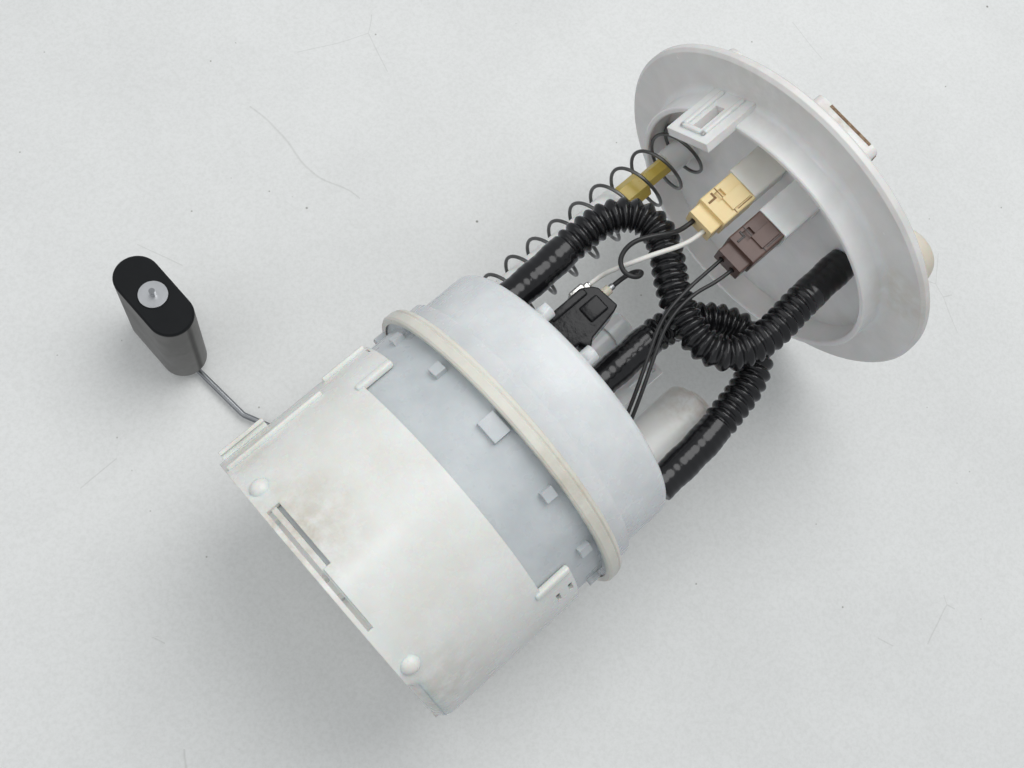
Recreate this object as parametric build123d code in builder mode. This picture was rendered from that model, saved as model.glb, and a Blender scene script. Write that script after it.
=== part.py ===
"""In-tank fuel pump module: a reservoir pot with its pump, level sender and float arm, and a spring-loaded tank flange.

Millimetres. Origin on the pot's axis where its feet stand on the tank floor, +Z up along the axis towards
the tank flange, -Y the front of the pot, +Y the flat side that carries the level sender.
"""

from build123d import *
import math
import os

# Fits
slip = 0.3  # loose gap between pieces that are put together by hand
running = 0.05  # radial gap of a shaft or plunger in its bore
seat_lift = 0.3  # height at which a soft or loose piece lies over its seat

# Outer shell of the pot
shell_r = 57.8
shell_wall = 1.7
shell_height = 50.5
shell_skirt = 3.0
shell_floor = 2.0
sender_flat = 44.0
window_height = 6.2
window_start = -116
window_end = -91
knob_r = 4.6
knob_angles = (-127, -50)
foot_pad_r = 12.0
foot_pad_wall = 2.0
side_foot_angles = (30, 90, 150, 210, 270, 330)
side_foot_size = 9.0
foot_ring_r = 44.0
knob_sink = 1.2

# Towers of the shell that hold the pot
tower_top = 67.0
tower_start = 35
tower_end = 2
tower_rib = 3.2
tower_rib_drop = 16.0
tower_window_z = 56.5
tower_window = (5.0, 3.4)

# Guard lug beside the float arm
guard_r = 64.3
guard_wall = 1.6
guard_low = 2.0
guard_high = 22.5
guard_start = 158
guard_end = 197

# Inner pot
pot_wall = 1.8
pot_floor = 2.0
pot_rim_z = 77.0
rim_thickness = 1.6
rim_reach = 1.5
nub_count = 13
nub_drop = 6.3
nub_size = (4.2, 4.4)
nub_reach = 2.0
middle_nub = (8.5, 6.5)

# Lid
lid_height = 31.7
lid_shoulder_height = 11.0
lid_shoulder_step = 1.9
lid_step = 2.2
lid_wall = 1.8
lid_plate = 2.2
lid_edge_radius = 3.8
spigot_depth = 4.0
spigot_wall = 1.4

# Retaining ring
ring_cover = 1.7
ring_under = 2.3
ring_over = 4.0
ring_lip_gap = 0.4
ring_groove_drop = 2.1
ring_groove = 0.55
ring_bead = 0.9

# Pegs on the lid
peg_r = 2.9
peg_height = 9.5
peg_points = ((-19.0, -45.2), (1.6, -49.0))

# Tank flange
flange_z = 214.8
flange_r = 73.2
flange_web = 2.6
flange_rim = 4.6
flange_rim_width = 6.5
flange_margin = 17.2
collar_wall = 2.4
collar_depth = 10.6
collar_root = 2.4
deck_rise = 1.4

# Slotted tab on the collar
tab_angle = -127
tab_width = 20.0
tab_length = 24.0
tab_thickness = 3.6
tab_slot = 4.0

# Inner connector posts and connectors
post_y = -31.0
post_depth = 11.0
cream_post_x = -10.4
cream_post_width = 13.2
cream_post_length = 16.4
white_post_x = 7.2
white_post_width = 13.6
white_post_length = 18.6
connector_length = 20.5
connector_width = 12.6
connector_depth = 9.6
connector_step = 5.2

# Outer socket
socket_y = -49.5
socket_size = (28.6, 12.0)
socket_height = 14.2
socket_wall = 1.5
socket_corner = 3.0
pin_spacing = 4.05
pin_count = 4
pin_size = (0.64, 1.5)
pin_proud = 1.6

# Outlet pipe on the flange
turret_point = (44.0, -22.0)
turret_r = 9.6
turret_height = 12.5
pipe_r = 3.95
pipe_bore = 2.6
pipe_length = 27.0
pipe_angle = 62
pipe_shank_r = 4.5
pipe_bead = 1.0
pipe_bead_width = 1.8
pipe_bead_from_end = 9.0
pipe_bead_slope = 0.5
pipe_end_chamfer = 0.8
pipe_drop = 2.2

# Orientation knob on the flange
flange_knob_angle = -129
flange_knob_inset = 6.4
flange_knob_r = 4.6
flange_knob_height = 4.0

# Guide rod, sleeve and spring
guide_point = (-41.5, 6.5)
boss_r = 5.2
boss_length = 12.8
rod_across = 9.4
rod_neck_length = 24.6
rod_length = 62.2
rod_neck_across = 6.0
rod_neck_gap = 4.0
sleeve_r = 6.9
sleeve_depth = 12.7
flange_travel = 22.0
travel_spare = 2.5
spring_r = 10.4
spring_wire = 1.4
spring_turns = 10.5
spring_segments = 12

# Hoses
hose_r = 6.5
cuff_r = 6.7
nipple_r = 4.1
nipple_bore = 2.9
nipple_length = 12.0
hose_end_gap = 0.5
barb = 0.35
hose_a_lid = (-35.3, -18.0)
hose_a_flange = (33.2, -18.5)
hose_b_pump = (7.3, -11.0)
hose_b_lid = (48.0, -8.0)

# Pump
pump_point = (-1.0, -12.0)
pump_r = 19.0
pump_can_wall = 1.3
pump_can_z = 22.0
pump_can_top = 92.0
pump_neck_r = 16.5
pump_neck_z = 112.0
magnet_wall = 3.4
shaft_r = 2.0
shaft_z = 16.5
shaft_top = 88.0
armature_r = 12.4
armature_z = 36.0
armature_height = 34.0
armature_slots = 8
commutator_r = 7.6
impeller_z = 18.4
impeller_height = 3.2
impeller_r = 15.0
impeller_vanes = 20
chamber_gap = 0.4

# Check valve in the pump's outlet
poppet_r = 2.5
poppet_stem_r = 1.0
poppet_lift = 2.0

# Strainer, foot valve and jet pump on the pot's floor
strainer_size = (44.0, 30.0, 4.2)
foot_valve_angle = -50.5
foot_valve_inset = 10.0
foot_valve_r = 7.5
foot_valve_hole = 1.5
foot_valve_ports = 6
foot_valve_port_r = 1.6
foot_valve_port_circle = 4.6
foot_valve_thickness = 1.6
foot_valve_lift = 2.0
jet_place = (-0.556, -0.63)
jet_r = 3.6
jet_length = 34.0

# Pieces on the lid
column_point = (36.5, 15.0)
column_r = 12.4
column_height = 38.0
cap_point = (-6.0, 18.0)
cap_r = 6.4
cap_height = 41.0
latch_point = (14.5, 18.5)
latch_size = (6.5, 5.0)
latch_height = 38.5
latch_slot = 1.8

# Pump plug
plug_front = -28.0
plug_back = -14.0
plug_left = -21.6
plug_right = -1.4
plug_top = 139.6
plug_shoulder = 127.0
terminal_points = ((-20.4, -21.0, 127.5), (-14.6, -21.0, 133.5))
terminal_r = 1.9
terminal_length = 9.5

# Level sender
holder_x = (-34.0, 30.0)
holder_z = (9.0, 68.0)
holder_standoff = 1.2
holder_depth = 1.8
holder_rib = 1.6
pivot_x = -20.0
pivot_z = 48.0
pivot_r = 2.5
hub_r = 8.0
hub_y = 49.0
hub_thickness = 6.6
card_x = (-6.0, 13.5)
card_z = (21.0, 65.0)
holder_window = (-18.5, 20.0, 17.0, 12.0)
card_thickness = 0.9
wiper_reach = 31.0
wiper_angle = 12.0
wiper_width = 5.0
wiper_thickness = 0.5

# Float arm and float
arm_r = 1.15
arm_y = 53.0
arm_bend = (-81.7, 18.9)
arm_bend_radius = 6.0
arm_elbow_radius = 3.6
float_foot = (-123.5, 50.6, 15.9)
float_lean = (-2.5, -44.6, 5.1)
float_length = 37.2
float_width = 17.4
float_depth = 44.0
float_edge = 0.8
washer_r = 5.4
washer_thickness = 0.7
arm_end_proud = 3.0

# Wires
wire_r = 0.9
sender_wire_r = 0.7
wire_pitch = 2.6

os.makedirs("parts", exist_ok=True)

# Heights and radii that follow from the sizes above
shell_inner = shell_r - shell_wall
shell_floor_top = shell_skirt + shell_floor
pot_r = shell_inner - slip
pot_z = shell_floor_top
pot_flat = sender_flat - shell_wall - slip
pot_inner = pot_r - pot_wall
pot_floor_top = pot_z + pot_floor
rim_r = shell_r + rim_reach
nub_z = pot_rim_z - nub_drop
lid_z = pot_rim_z
lid_top = lid_z + lid_height
lid_shoulder_r = rim_r - lid_shoulder_step
lid_r = lid_shoulder_r - lid_step
ring_r = rim_r + ring_cover
ring_z = pot_rim_z - ring_under
ring_top = pot_rim_z + ring_over
ring_lip_r = lid_shoulder_r + ring_lip_gap
ring_groove_z = ring_top - ring_groove_drop
lid_inner = lid_r - lid_wall
collar_r = flange_r - flange_margin
collar_z = flange_z - collar_depth
cream_post_z = flange_z - cream_post_length
white_post_z = flange_z - white_post_length
deck_z = flange_z + flange_web + deck_rise
boss_z = flange_z - boss_length
rod_shoulder_z = flange_z - rod_neck_length
rod_foot_z = rod_shoulder_z - rod_length
sleeve_top = boss_z - flange_travel - travel_spare
sleeve_foot_z = lid_top - sleeve_depth
foot_valve_x = (pot_inner - foot_valve_inset) * math.cos(math.radians(foot_valve_angle))
foot_valve_y = (pot_inner - foot_valve_inset) * math.sin(math.radians(foot_valve_angle))
jet_x = pot_inner * jet_place[0]
jet_y = pot_inner * jet_place[1]
sleeve_bore = rod_across / 2 / math.cos(math.pi / 6) + slip
spring_z = lid_top + seat_lift + spring_wire / 2
spring_top = flange_z - seat_lift - spring_wire / 2
tower_edges = (-180 + tower_end, -90 - tower_start, -90 + tower_start, -tower_end)
tower_window_angles = (-135 - (tower_start - tower_end) / 2, -45 + (tower_start - tower_end) / 2)
pump_inner = pump_r - pump_can_wall
magnet_bore = pump_inner - magnet_wall


def d_section(radius, flat):
    """Circle with its +Y side cut off flat."""
    Circle(radius)
    with Locations((0, flat + radius)):
        Rectangle(4 * radius, 2 * radius, mode=Mode.SUBTRACT)


def sector(radius, start, end):
    """Pie-shaped face between two angles."""
    with BuildSketch() as wedge:
        with BuildLine():
            rim = CenterArc((0, 0), radius, start, end - start)
            Line(rim @ 1, (0, 0))
            Line((0, 0), rim @ 0)
        make_face()
    return wedge.sketch


def write(piece, label):
    """Labels a finished piece and writes its file."""
    piece.part.label = label
    export_step(piece.part, f"parts/{label}.step")


def arc_radii(points):
    """Largest arc at each corner of a route that its two runs leave room for."""
    radii = []
    for before, corner, after in zip(points, points[1:], points[2:]):
        run_in = Vector(*corner) - Vector(*before)
        run_out = Vector(*after) - Vector(*corner)
        turn = math.radians(run_in.get_angle(run_out))
        shorter = min(run_in.length, run_out.length)
        radii.append(0.45 * shorter / math.tan(turn / 2))
    return radii


def cord_tube(label, points, radius, bore=0.0):
    """Round cord or hose along straight runs joined by tangent arcs."""
    radii = arc_radii(points)
    with BuildPart() as cord:
        with BuildLine() as route:
            FilletPolyline(*points, radius=radii)
        with BuildSketch(Plane(origin=points[0], z_dir=Vector(*points[1]) - Vector(*points[0]))):
            Circle(radius)
            if bore:
                Circle(bore, mode=Mode.SUBTRACT)
        sweep()
    length = sum(edge.length for edge in route.line.edges())
    section = math.pi * (radius**2 - bore**2)
    print(label, "length", round(length, 1), "radii", [round(r, 1) for r in radii])
    print(label, "volume over section times length", round(cord.part.volume / (section * length), 3))
    write(cord, label)


def hose_nipple(base, direction):
    """Hose nipple with two small barbs, from its base point outwards."""
    with BuildPart() as stub:
        with BuildSketch(Plane(origin=base, z_dir=direction)):
            Circle(nipple_r - barb)
        extrude(amount=nipple_length)
        for share in (0.45, 0.85):
            tip = Vector(*base) + Vector(*direction) * (nipple_length * share)
            with BuildSketch(Plane(origin=tip, z_dir=direction)):
                Circle(nipple_r)
            extrude(amount=-2.0, taper=8)
    return stub.part


# Outer shell: flat-backed cup with a skirt, floor, feet and towers
window_sector = sector(shell_r + 2, window_start, window_end)
tower_sectors = [
    sector(shell_r, -180 + tower_end, -90 - tower_start),
    sector(shell_r, -90 + tower_start, -tower_end),
]
guard_sector = sector(guard_r, guard_start, guard_end)
with BuildPart() as shell:
    with BuildSketch():
        d_section(shell_r, sender_flat)
    extrude(amount=shell_height)
    # Rounded knobs low on the wall
    for angle in knob_angles:
        with PolarLocations(shell_r - knob_sink, 1, start_angle=angle):
            with Locations((0, 0, knob_r + seat_lift)):
                Sphere(knob_r)
    with BuildSketch(Plane.XY.offset(shell_floor_top)):
        d_section(shell_inner, sender_flat - shell_wall)
    extrude(amount=shell_height, mode=Mode.SUBTRACT)
    with BuildSketch():
        d_section(shell_inner, sender_flat - shell_wall)
    extrude(amount=shell_skirt, mode=Mode.SUBTRACT)
    # Round pad under the middle and feet inside the skirt
    with BuildSketch():
        Circle(foot_pad_r)
        with PolarLocations(foot_ring_r, len(side_foot_angles), start_angle=side_foot_angles[0]):
            RectangleRounded(side_foot_size, foot_pad_wall, foot_pad_wall * 0.4)
    extrude(amount=shell_skirt)
    # Drain window in the skirt
    with BuildSketch():
        add(window_sector)
        Circle(shell_inner - slip, mode=Mode.SUBTRACT)
    extrude(amount=window_height, mode=Mode.SUBTRACT)
    # Towers that rise beside the pot's wall, with a rib on each edge and a window
    with BuildSketch(Plane.XY.offset(shell_height)):
        for tower_sector in tower_sectors:
            add(tower_sector)
        Circle(shell_inner, mode=Mode.SUBTRACT)
    extrude(amount=tower_top - shell_height)
    with BuildSketch(Plane.XY.offset(shell_height - tower_rib_drop)):
        for edge in tower_edges:
            with PolarLocations(shell_inner + tower_rib / 2, 1, start_angle=edge):
                RectangleRounded(tower_rib, tower_rib, tower_rib * 0.35)
        Circle(shell_inner, mode=Mode.SUBTRACT)
    extrude(amount=tower_top + tower_rib_drop - shell_height)
    for angle in tower_window_angles:
        with PolarLocations(shell_r, 1, start_angle=angle):
            with Locations((0, 0, tower_window_z)):
                Box(6 * shell_wall, *tower_window, mode=Mode.SUBTRACT)
    # Guard lug beside the arm, carried by webs
    with BuildSketch(Plane.XY.offset(guard_low)):
        add(guard_sector)
        Circle(guard_r - guard_wall, mode=Mode.SUBTRACT)
        for angle in (guard_start + 2, (guard_start + guard_end) / 2, guard_end - 2):
            with PolarLocations((shell_r + guard_r) / 2 - 0.4, 1, start_angle=angle):
                Rectangle(guard_r - shell_r + 0.4, guard_wall)
    extrude(amount=guard_high - guard_low)
write(shell, "outer_shell")

# Inner pot: flat-backed cup whose full round rim takes the lid
with BuildPart() as pot:
    with BuildSketch(Plane.XY.offset(pot_z)):
        d_section(pot_r, pot_flat)
    extrude(amount=pot_rim_z - pot_z)
    with BuildSketch(Plane.XY.offset(pot_rim_z - rim_thickness)):
        Circle(rim_r)
    extrude(amount=rim_thickness)
    with BuildSketch(Plane.XY.offset(pot_floor_top)):
        d_section(pot_inner, pot_flat - pot_wall)
    extrude(amount=pot_rim_z, mode=Mode.SUBTRACT)
    # Snap nubs under the ring, with a wide one in the middle of the front
    for step in range(-3, nub_count - 3):
        angle = -90 + step * 360 / nub_count
        if math.sin(math.radians(angle)) * pot_r < pot_flat - nub_size[0]:
            width, height = middle_nub if step == 0 else nub_size
            with PolarLocations(pot_r - pot_wall / 2 + nub_reach / 2, 1, start_angle=angle):
                with Locations((0, 0, nub_z)):
                    Box(nub_reach + pot_wall, width, height)
    # Ports of the foot valve in the floor, and the drain under them
    with Locations((foot_valve_x, foot_valve_y, pot_floor_top)):
        Hole(foot_valve_hole + running)
        with PolarLocations(foot_valve_port_circle, foot_valve_ports):
            Hole(foot_valve_port_r)
write(pot, "inner_pot")

# Lid: inverted cup with a wider shoulder that the ring holds down
lid_nipples = [hose_nipple((*point, lid_top), (0, 0, 1)) for point in (hose_a_lid, hose_b_lid)]
with BuildPart() as lid:
    with BuildSketch(Plane.XZ):
        with BuildLine():
            Polyline(
                (0, lid_top - lid_plate),
                (0, lid_top),
                (lid_r, lid_top),
                (lid_r, lid_z + lid_shoulder_height),
                (lid_shoulder_r, lid_z + lid_shoulder_height - 1.2),
                (lid_shoulder_r, lid_z + rim_thickness),
                (rim_r, lid_z + rim_thickness),
                (rim_r, lid_z),
                (lid_inner, lid_z),
                (lid_inner, lid_top - lid_plate),
                (0, lid_top - lid_plate),
            )
        make_face()
    revolve(axis=Axis.Z)
    top_edge = lid.edges().filter_by(GeomType.CIRCLE).group_by(Axis.Z)[-1].sort_by(SortBy.RADIUS)[-1]
    fillet(top_edge, lid_edge_radius)
    # Locating spigot that follows the pot's inside
    with BuildSketch(Plane.XY.offset(lid_z - spigot_depth)):
        d_section(pot_inner - slip, pot_flat - pot_wall - slip)
        offset(amount=-spigot_wall, mode=Mode.SUBTRACT)
    extrude(amount=spigot_depth)
    with BuildSketch(Plane.XY.offset(lid_z)):
        d_section(lid_inner + 0.5, pot_flat - pot_wall - slip)
        offset(amount=-spigot_wall - 0.5, mode=Mode.SUBTRACT)
        Circle(lid_inner + 0.5, mode=Mode.INTERSECT)
    extrude(amount=spigot_wall)
    for x, y in peg_points:
        with BuildSketch(Plane.XY.offset(lid_top)):
            with Locations((x, y)):
                Circle(peg_r)
        extrude(amount=peg_height)
    # Hole for the pump's neck, sleeve socket and hose nipples
    with BuildSketch(Plane.XY.offset(lid_top - lid_plate)):
        with Locations(pump_point):
            Circle(pump_neck_r + 2.4)
        with Locations(guide_point):
            Circle(sleeve_r)
    extrude(amount=lid_plate, mode=Mode.SUBTRACT)
    add(lid_nipples)
    for point in (hose_a_lid, hose_b_lid):
        with Locations((*point, lid_top + nipple_length)):
            Hole(nipple_bore, depth=nipple_length + lid_plate + 1)
write(lid, "lid")

# Retaining ring that clamps the lid's rim on the pot's rim
with BuildPart() as ring:
    with BuildSketch(Plane.XZ):
        with BuildLine():
            Polyline(
                (rim_r - ring_bead, ring_z),
                (ring_r - 0.6, ring_z),
                (ring_r, ring_z + 0.8),
                (ring_r, ring_groove_z - ring_groove),
                (ring_r - ring_groove, ring_groove_z),
                (ring_r - 0.3, ring_groove_z + ring_groove),
                (ring_r - 0.9, ring_top - 0.4),
                (ring_r - 1.6, ring_top),
                (ring_lip_r, ring_top),
                (ring_lip_r, lid_z + rim_thickness + 0.1),
                (rim_r + slip, lid_z + rim_thickness + 0.1),
                (rim_r + slip, pot_rim_z - rim_thickness - 0.1),
                (rim_r - ring_bead, ring_z + 0.2),
                (rim_r - ring_bead, ring_z),
            )
        make_face()
    revolve(axis=Axis.Z)
write(ring, "retaining_ring")

# Guide sleeve in the lid, with a hexagonal bore at its mouth
with BuildPart() as sleeve:
    with BuildSketch(Plane.XY.offset(sleeve_foot_z)):
        with Locations(guide_point):
            Circle(sleeve_r)
            RegularPolygon(rod_across / 2 + slip, 6, major_radius=False, mode=Mode.SUBTRACT)
    extrude(amount=sleeve_top - sleeve_foot_z)
    top_edges = sleeve.faces().sort_by(Axis.Z)[-1].outer_wire().edges()
    chamfer(top_edges, 0.6)
write(sleeve, "guide_sleeve")

# Guide rod: hexagonal bar with a narrow neck that sits in the flange's boss
with BuildPart() as rod:
    with BuildSketch(Plane.XY.offset(rod_foot_z)):
        with Locations(guide_point):
            RegularPolygon(rod_across / 2, 6, major_radius=False)
    extrude(amount=rod_shoulder_z - rod_foot_z)
    chamfer(rod.faces().sort_by(Axis.Z)[-1].edges(), 0.8)
    with BuildSketch(Plane.XY.offset(rod_shoulder_z)):
        with Locations(guide_point):
            RegularPolygon(rod_neck_across / 2, 6, major_radius=False)
    extrude(amount=rod_neck_length - rod_neck_gap)
write(rod, "guide_rod")

# Compression spring round the sleeve
with BuildPart() as spring:
    with BuildLine() as coil:
        Helix(
            pitch=(spring_top - spring_z) / spring_turns,
            height=spring_top - spring_z,
            radius=spring_r,
            center=(*guide_point, spring_z),
        )
    with BuildSketch(Plane(origin=coil.line @ 0, z_dir=coil.line % 0)):
        RegularPolygon(spring_wire / 2, 6)
    sweep(is_frenet=True)
write(spring, "guide_spring")

# Tank flange: thin disc with a thick rim, collar, boss, posts and outer socket
flange_nipple = hose_nipple((*hose_a_flange, flange_z), (0, 0, -1))
with BuildPart() as flange:
    with BuildSketch(Plane.XZ):
        with BuildLine():
            Polyline(
                (0, flange_z),
                (flange_r - 1.2, flange_z),
                (flange_r, flange_z + 1.2),
                (flange_r, flange_z + flange_rim - 1.2),
                (flange_r - 1.2, flange_z + flange_rim),
                (flange_r - flange_rim_width, flange_z + flange_rim),
                (flange_r - flange_rim_width - 2, flange_z + flange_web),
                (collar_r + 2, flange_z + flange_web),
                (collar_r, deck_z),
                (0, deck_z),
                (0, flange_z),
            )
        make_face()
    revolve(axis=Axis.Z)
    with BuildSketch(Plane.XZ):
        with BuildLine():
            Polyline(
                (collar_r - collar_wall, flange_z),
                (collar_r - collar_wall, collar_z + 0.5),
                (collar_r - collar_wall + 0.5, collar_z),
                (collar_r - 0.5, collar_z),
                (collar_r, collar_z + 0.5),
                (collar_r, flange_z - collar_root),
            )
            JernArc((collar_r, flange_z - collar_root), (0, 1), collar_root, -90)
            Line((collar_r + collar_root, flange_z), (collar_r - collar_wall, flange_z))
        make_face()
    revolve(axis=Axis.Z)
    # Boss that holds the guide rod's neck
    with BuildSketch(Plane.XY.offset(boss_z)):
        with Locations(guide_point):
            Circle(boss_r)
            RegularPolygon(rod_neck_across / 2, 6, major_radius=False, mode=Mode.SUBTRACT)
    extrude(amount=boss_length)
    # Post of the brown connector
    with BuildSketch(Plane.XY.offset(white_post_z)):
        with Locations((white_post_x, post_y)):
            RectangleRounded(white_post_width, post_depth, 1.0)
    extrude(amount=flange_z - white_post_z)
    # Slotted tab on the collar
    with BuildSketch(Plane.XY.offset(flange_z - tab_length)):
        with PolarLocations(collar_r - collar_wall + tab_thickness / 2, 1, start_angle=tab_angle):
            Rectangle(tab_thickness, tab_width)
    extrude(amount=tab_length)
    with PolarLocations(collar_r - collar_wall + tab_thickness, 1, start_angle=tab_angle):
        with Locations((0, 0, flange_z - tab_length * 0.55)):
            Box(3 * tab_thickness, tab_slot, tab_length * 0.5, mode=Mode.SUBTRACT)
    # Outer socket with its cavity
    with BuildSketch(Plane.XY.offset(deck_z)):
        with Locations((0, socket_y)):
            RectangleRounded(*socket_size, socket_corner)
    extrude(amount=socket_height)
    with BuildSketch(Plane.XY.offset(deck_z + 1.5)):
        with Locations((0, socket_y)):
            RectangleRounded(
                socket_size[0] - 2 * socket_wall, socket_size[1] - 2 * socket_wall, socket_corner - socket_wall
            )
    extrude(amount=socket_height, mode=Mode.SUBTRACT)
    # Turret of the outlet, with a sloped rib towards the rim
    with BuildSketch(Plane.XY.offset(flange_z + flange_web)):
        with Locations(turret_point):
            Circle(turret_r)
    extrude(amount=deck_z + turret_height - flange_z - flange_web)
    with BuildSketch(Plane.XY.offset(flange_z + flange_web)):
        with Locations(Location((*turret_point, 0), (0, 0, math.degrees(math.atan2(turret_point[1], turret_point[0]))))):
            with Locations((turret_r * 0.55, 0)):
                Rectangle(turret_r * 2.4, turret_r * 1.7)
    extrude(amount=turret_height * 0.8, taper=18)
    # Orientation knob
    with BuildSketch(Plane.XY.offset(flange_z + flange_web)):
        with PolarLocations(flange_r - flange_knob_inset, 1, start_angle=flange_knob_angle):
            Circle(flange_knob_r)
    extrude(amount=flange_knob_height)
    # Hose nipple under the outlet turret, bored up into the pipe
    add(flange_nipple)
    with Locations(Location((*hose_a_flange, flange_z - nipple_length), (180, 0, 0))):
        Hole(nipple_bore, depth=nipple_length + flange_web)
write(flange, "tank_flange")

# Outlet pipe that leaves the turret level with the flange
pipe_z = deck_z + turret_height - pipe_r - pipe_drop
pipe_dir = Vector(math.cos(math.radians(pipe_angle)), math.sin(math.radians(pipe_angle)), 0)
pipe_start = Vector(*turret_point, pipe_z) + pipe_dir * turret_r
bead_start = pipe_length - pipe_bead_from_end
bead_end = bead_start + pipe_bead_width
with BuildPart() as pipe:
    with BuildSketch(Plane(origin=pipe_start, x_dir=pipe_dir, z_dir=Vector(pipe_dir.Y, -pipe_dir.X, 0))):
        with BuildLine():
            Polyline(
                (0, pipe_bore),
                (0, pipe_shank_r),
                (bead_start, pipe_shank_r),
                (bead_start, pipe_r + pipe_bead),
                (bead_end, pipe_r + pipe_bead),
                (bead_end + pipe_bead_slope, pipe_r),
                (pipe_length - pipe_end_chamfer, pipe_r),
                (pipe_length, pipe_r - pipe_end_chamfer),
                (pipe_length, pipe_bore),
                (0, pipe_bore),
            )
        make_face()
    revolve(axis=Axis(pipe_start, pipe_dir))
write(pipe, "outlet_pipe")

# Contact pins in the outer socket
with BuildPart() as pins:
    with BuildSketch(Plane.XY.offset(deck_z + 1.5)):
        with Locations((0, socket_y)):
            with GridLocations(pin_spacing * 2, 1, pin_count // 2, 1):
                with GridLocations(pin_spacing, 1, 2, 1):
                    Rectangle(*pin_size)
    extrude(amount=socket_height - 1.5 + pin_proud)
write(pins, "contact_pins")

# Cream post that carries the pump's connector
with BuildPart() as cream_post:
    with BuildSketch(Plane.XY.offset(cream_post_z)):
        with Locations((cream_post_x, post_y)):
            RectangleRounded(cream_post_width, post_depth, 1.0)
    extrude(amount=flange_z - cream_post_z)
write(cream_post, "cream_post")


def connector(label, x, top):
    """Two-way connector: a stepped housing with a latch window, hanging from its post."""
    with BuildPart() as housing:
        with BuildSketch(Plane.XY.offset(top)):
            with Locations((x, post_y)):
                RectangleRounded(connector_width, connector_depth, 0.8)
        extrude(amount=-(connector_length - connector_step))
        with BuildSketch(Plane.XY.offset(top - connector_length + connector_step)):
            with Locations((x, post_y + 0.6)):
                RectangleRounded(connector_width - 1.6, connector_depth - 2.4, 0.6)
        extrude(amount=-connector_step)
        # Latch ledge and window on the front
        front = post_y - connector_depth / 2
        with Locations((x - connector_width * 0.22, front, top - connector_length * 0.45)):
            Box(3.4, 2.2, 4.2, mode=Mode.SUBTRACT)
        with Locations((x + connector_width * 0.12, front, top - connector_length * 0.25)):
            Box(5.6, 1.6, connector_length * 0.42)
        # Wire cavities
        for side in (-1, 1):
            with Locations(Location((x + side * wire_pitch, post_y + 0.6, top - connector_length), (180, 0, 0))):
                Hole(wire_r + 0.3, depth=4.0)
    write(housing, label)


connector("cream_connector", cream_post_x + 0.6, cream_post_z)
connector("brown_connector", white_post_x - 0.2, white_post_z)

# Filter column on the lid
with BuildPart() as column:
    with BuildSketch(Plane.XY.offset(lid_top)):
        with Locations(column_point):
            Circle(column_r)
    extrude(amount=column_height)
    fillet(column.faces().sort_by(Axis.Z)[-1].edges(), 2.5)
    with BuildSketch(Plane.XY.offset(lid_top + column_height)):
        with Locations(column_point):
            Circle(column_r * 0.55)
    extrude(amount=2.2)
write(column, "filter_column")

# Translucent valve cap on the lid
with BuildPart() as cap:
    with BuildSketch(Plane.XY.offset(lid_top)):
        with Locations(cap_point):
            Circle(cap_r - 1.6)
    extrude(amount=cap_height)
    with BuildSketch(Plane.XY.offset(lid_top + cap_height - 9)):
        with Locations(cap_point):
            Circle(cap_r)
    extrude(amount=9)
    fillet(cap.faces().sort_by(Axis.Z)[-1].edges(), 1.6)
write(cap, "valve_cap")

# Slotted latch tower on the lid
with BuildPart() as latch:
    with BuildSketch(Plane.XY.offset(lid_top)):
        with Locations(latch_point):
            Rectangle(*latch_size)
    extrude(amount=latch_height)
    with Locations((*latch_point, lid_top + latch_height - 8)):
        Box(latch_slot, 2 * latch_size[1], 12, mode=Mode.SUBTRACT)
write(latch, "latch_tower")

# Pump: steel can rolled over a lower and an upper cap
with BuildPart() as can:
    with BuildSketch(Plane.XY.offset(pump_can_z)):
        with Locations(pump_point):
            Circle(pump_r)
            Circle(pump_inner, mode=Mode.SUBTRACT)
    extrude(amount=pump_can_top - pump_can_z)
write(can, "pump_can")

with BuildPart() as magnets:
    with BuildSketch(Plane.XY.offset(armature_z - 2)):
        with Locations(pump_point):
            Circle(pump_inner)
            Circle(magnet_bore, mode=Mode.SUBTRACT)
            Rectangle(8, 3 * pump_r, mode=Mode.SUBTRACT)
    extrude(amount=armature_height + 4)
write(magnets, "motor_magnets")

inlet_z = strainer_size[2] + pot_floor_top + seat_lift
with BuildPart() as inlet_cap:
    with BuildSketch(Plane.XY.offset(inlet_z)):
        with Locations(pump_point):
            Circle(pump_r)
    extrude(amount=pump_can_z - inlet_z)
    with BuildSketch(Plane.XY.offset(pump_can_z)):
        with Locations(pump_point):
            Circle(pump_inner)
    extrude(amount=6)
    with BuildSketch(Plane.XY.offset(impeller_z - chamber_gap)):
        with Locations(pump_point):
            Circle(impeller_r + chamber_gap)
    extrude(amount=impeller_height + 2 * chamber_gap, mode=Mode.SUBTRACT)
    with Locations((*pump_point, pump_can_z + 6)):
        Hole(shaft_r + running, depth=pump_can_z + 6 - shaft_z + 0.6)
    # Inlet port and the outlet port into the can
    with Locations((pump_point[0] + 10, pump_point[1], inlet_z)):
        Cylinder(2.6, impeller_z - inlet_z, align=(Align.CENTER, Align.CENTER, Align.MIN), mode=Mode.SUBTRACT)
    with Locations((pump_point[0] - 10, pump_point[1], impeller_z)):
        Cylinder(2.6, pump_can_z + 8 - impeller_z, align=(Align.CENTER, Align.CENTER, Align.MIN), mode=Mode.SUBTRACT)
write(inlet_cap, "pump_inlet_cap")

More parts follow.
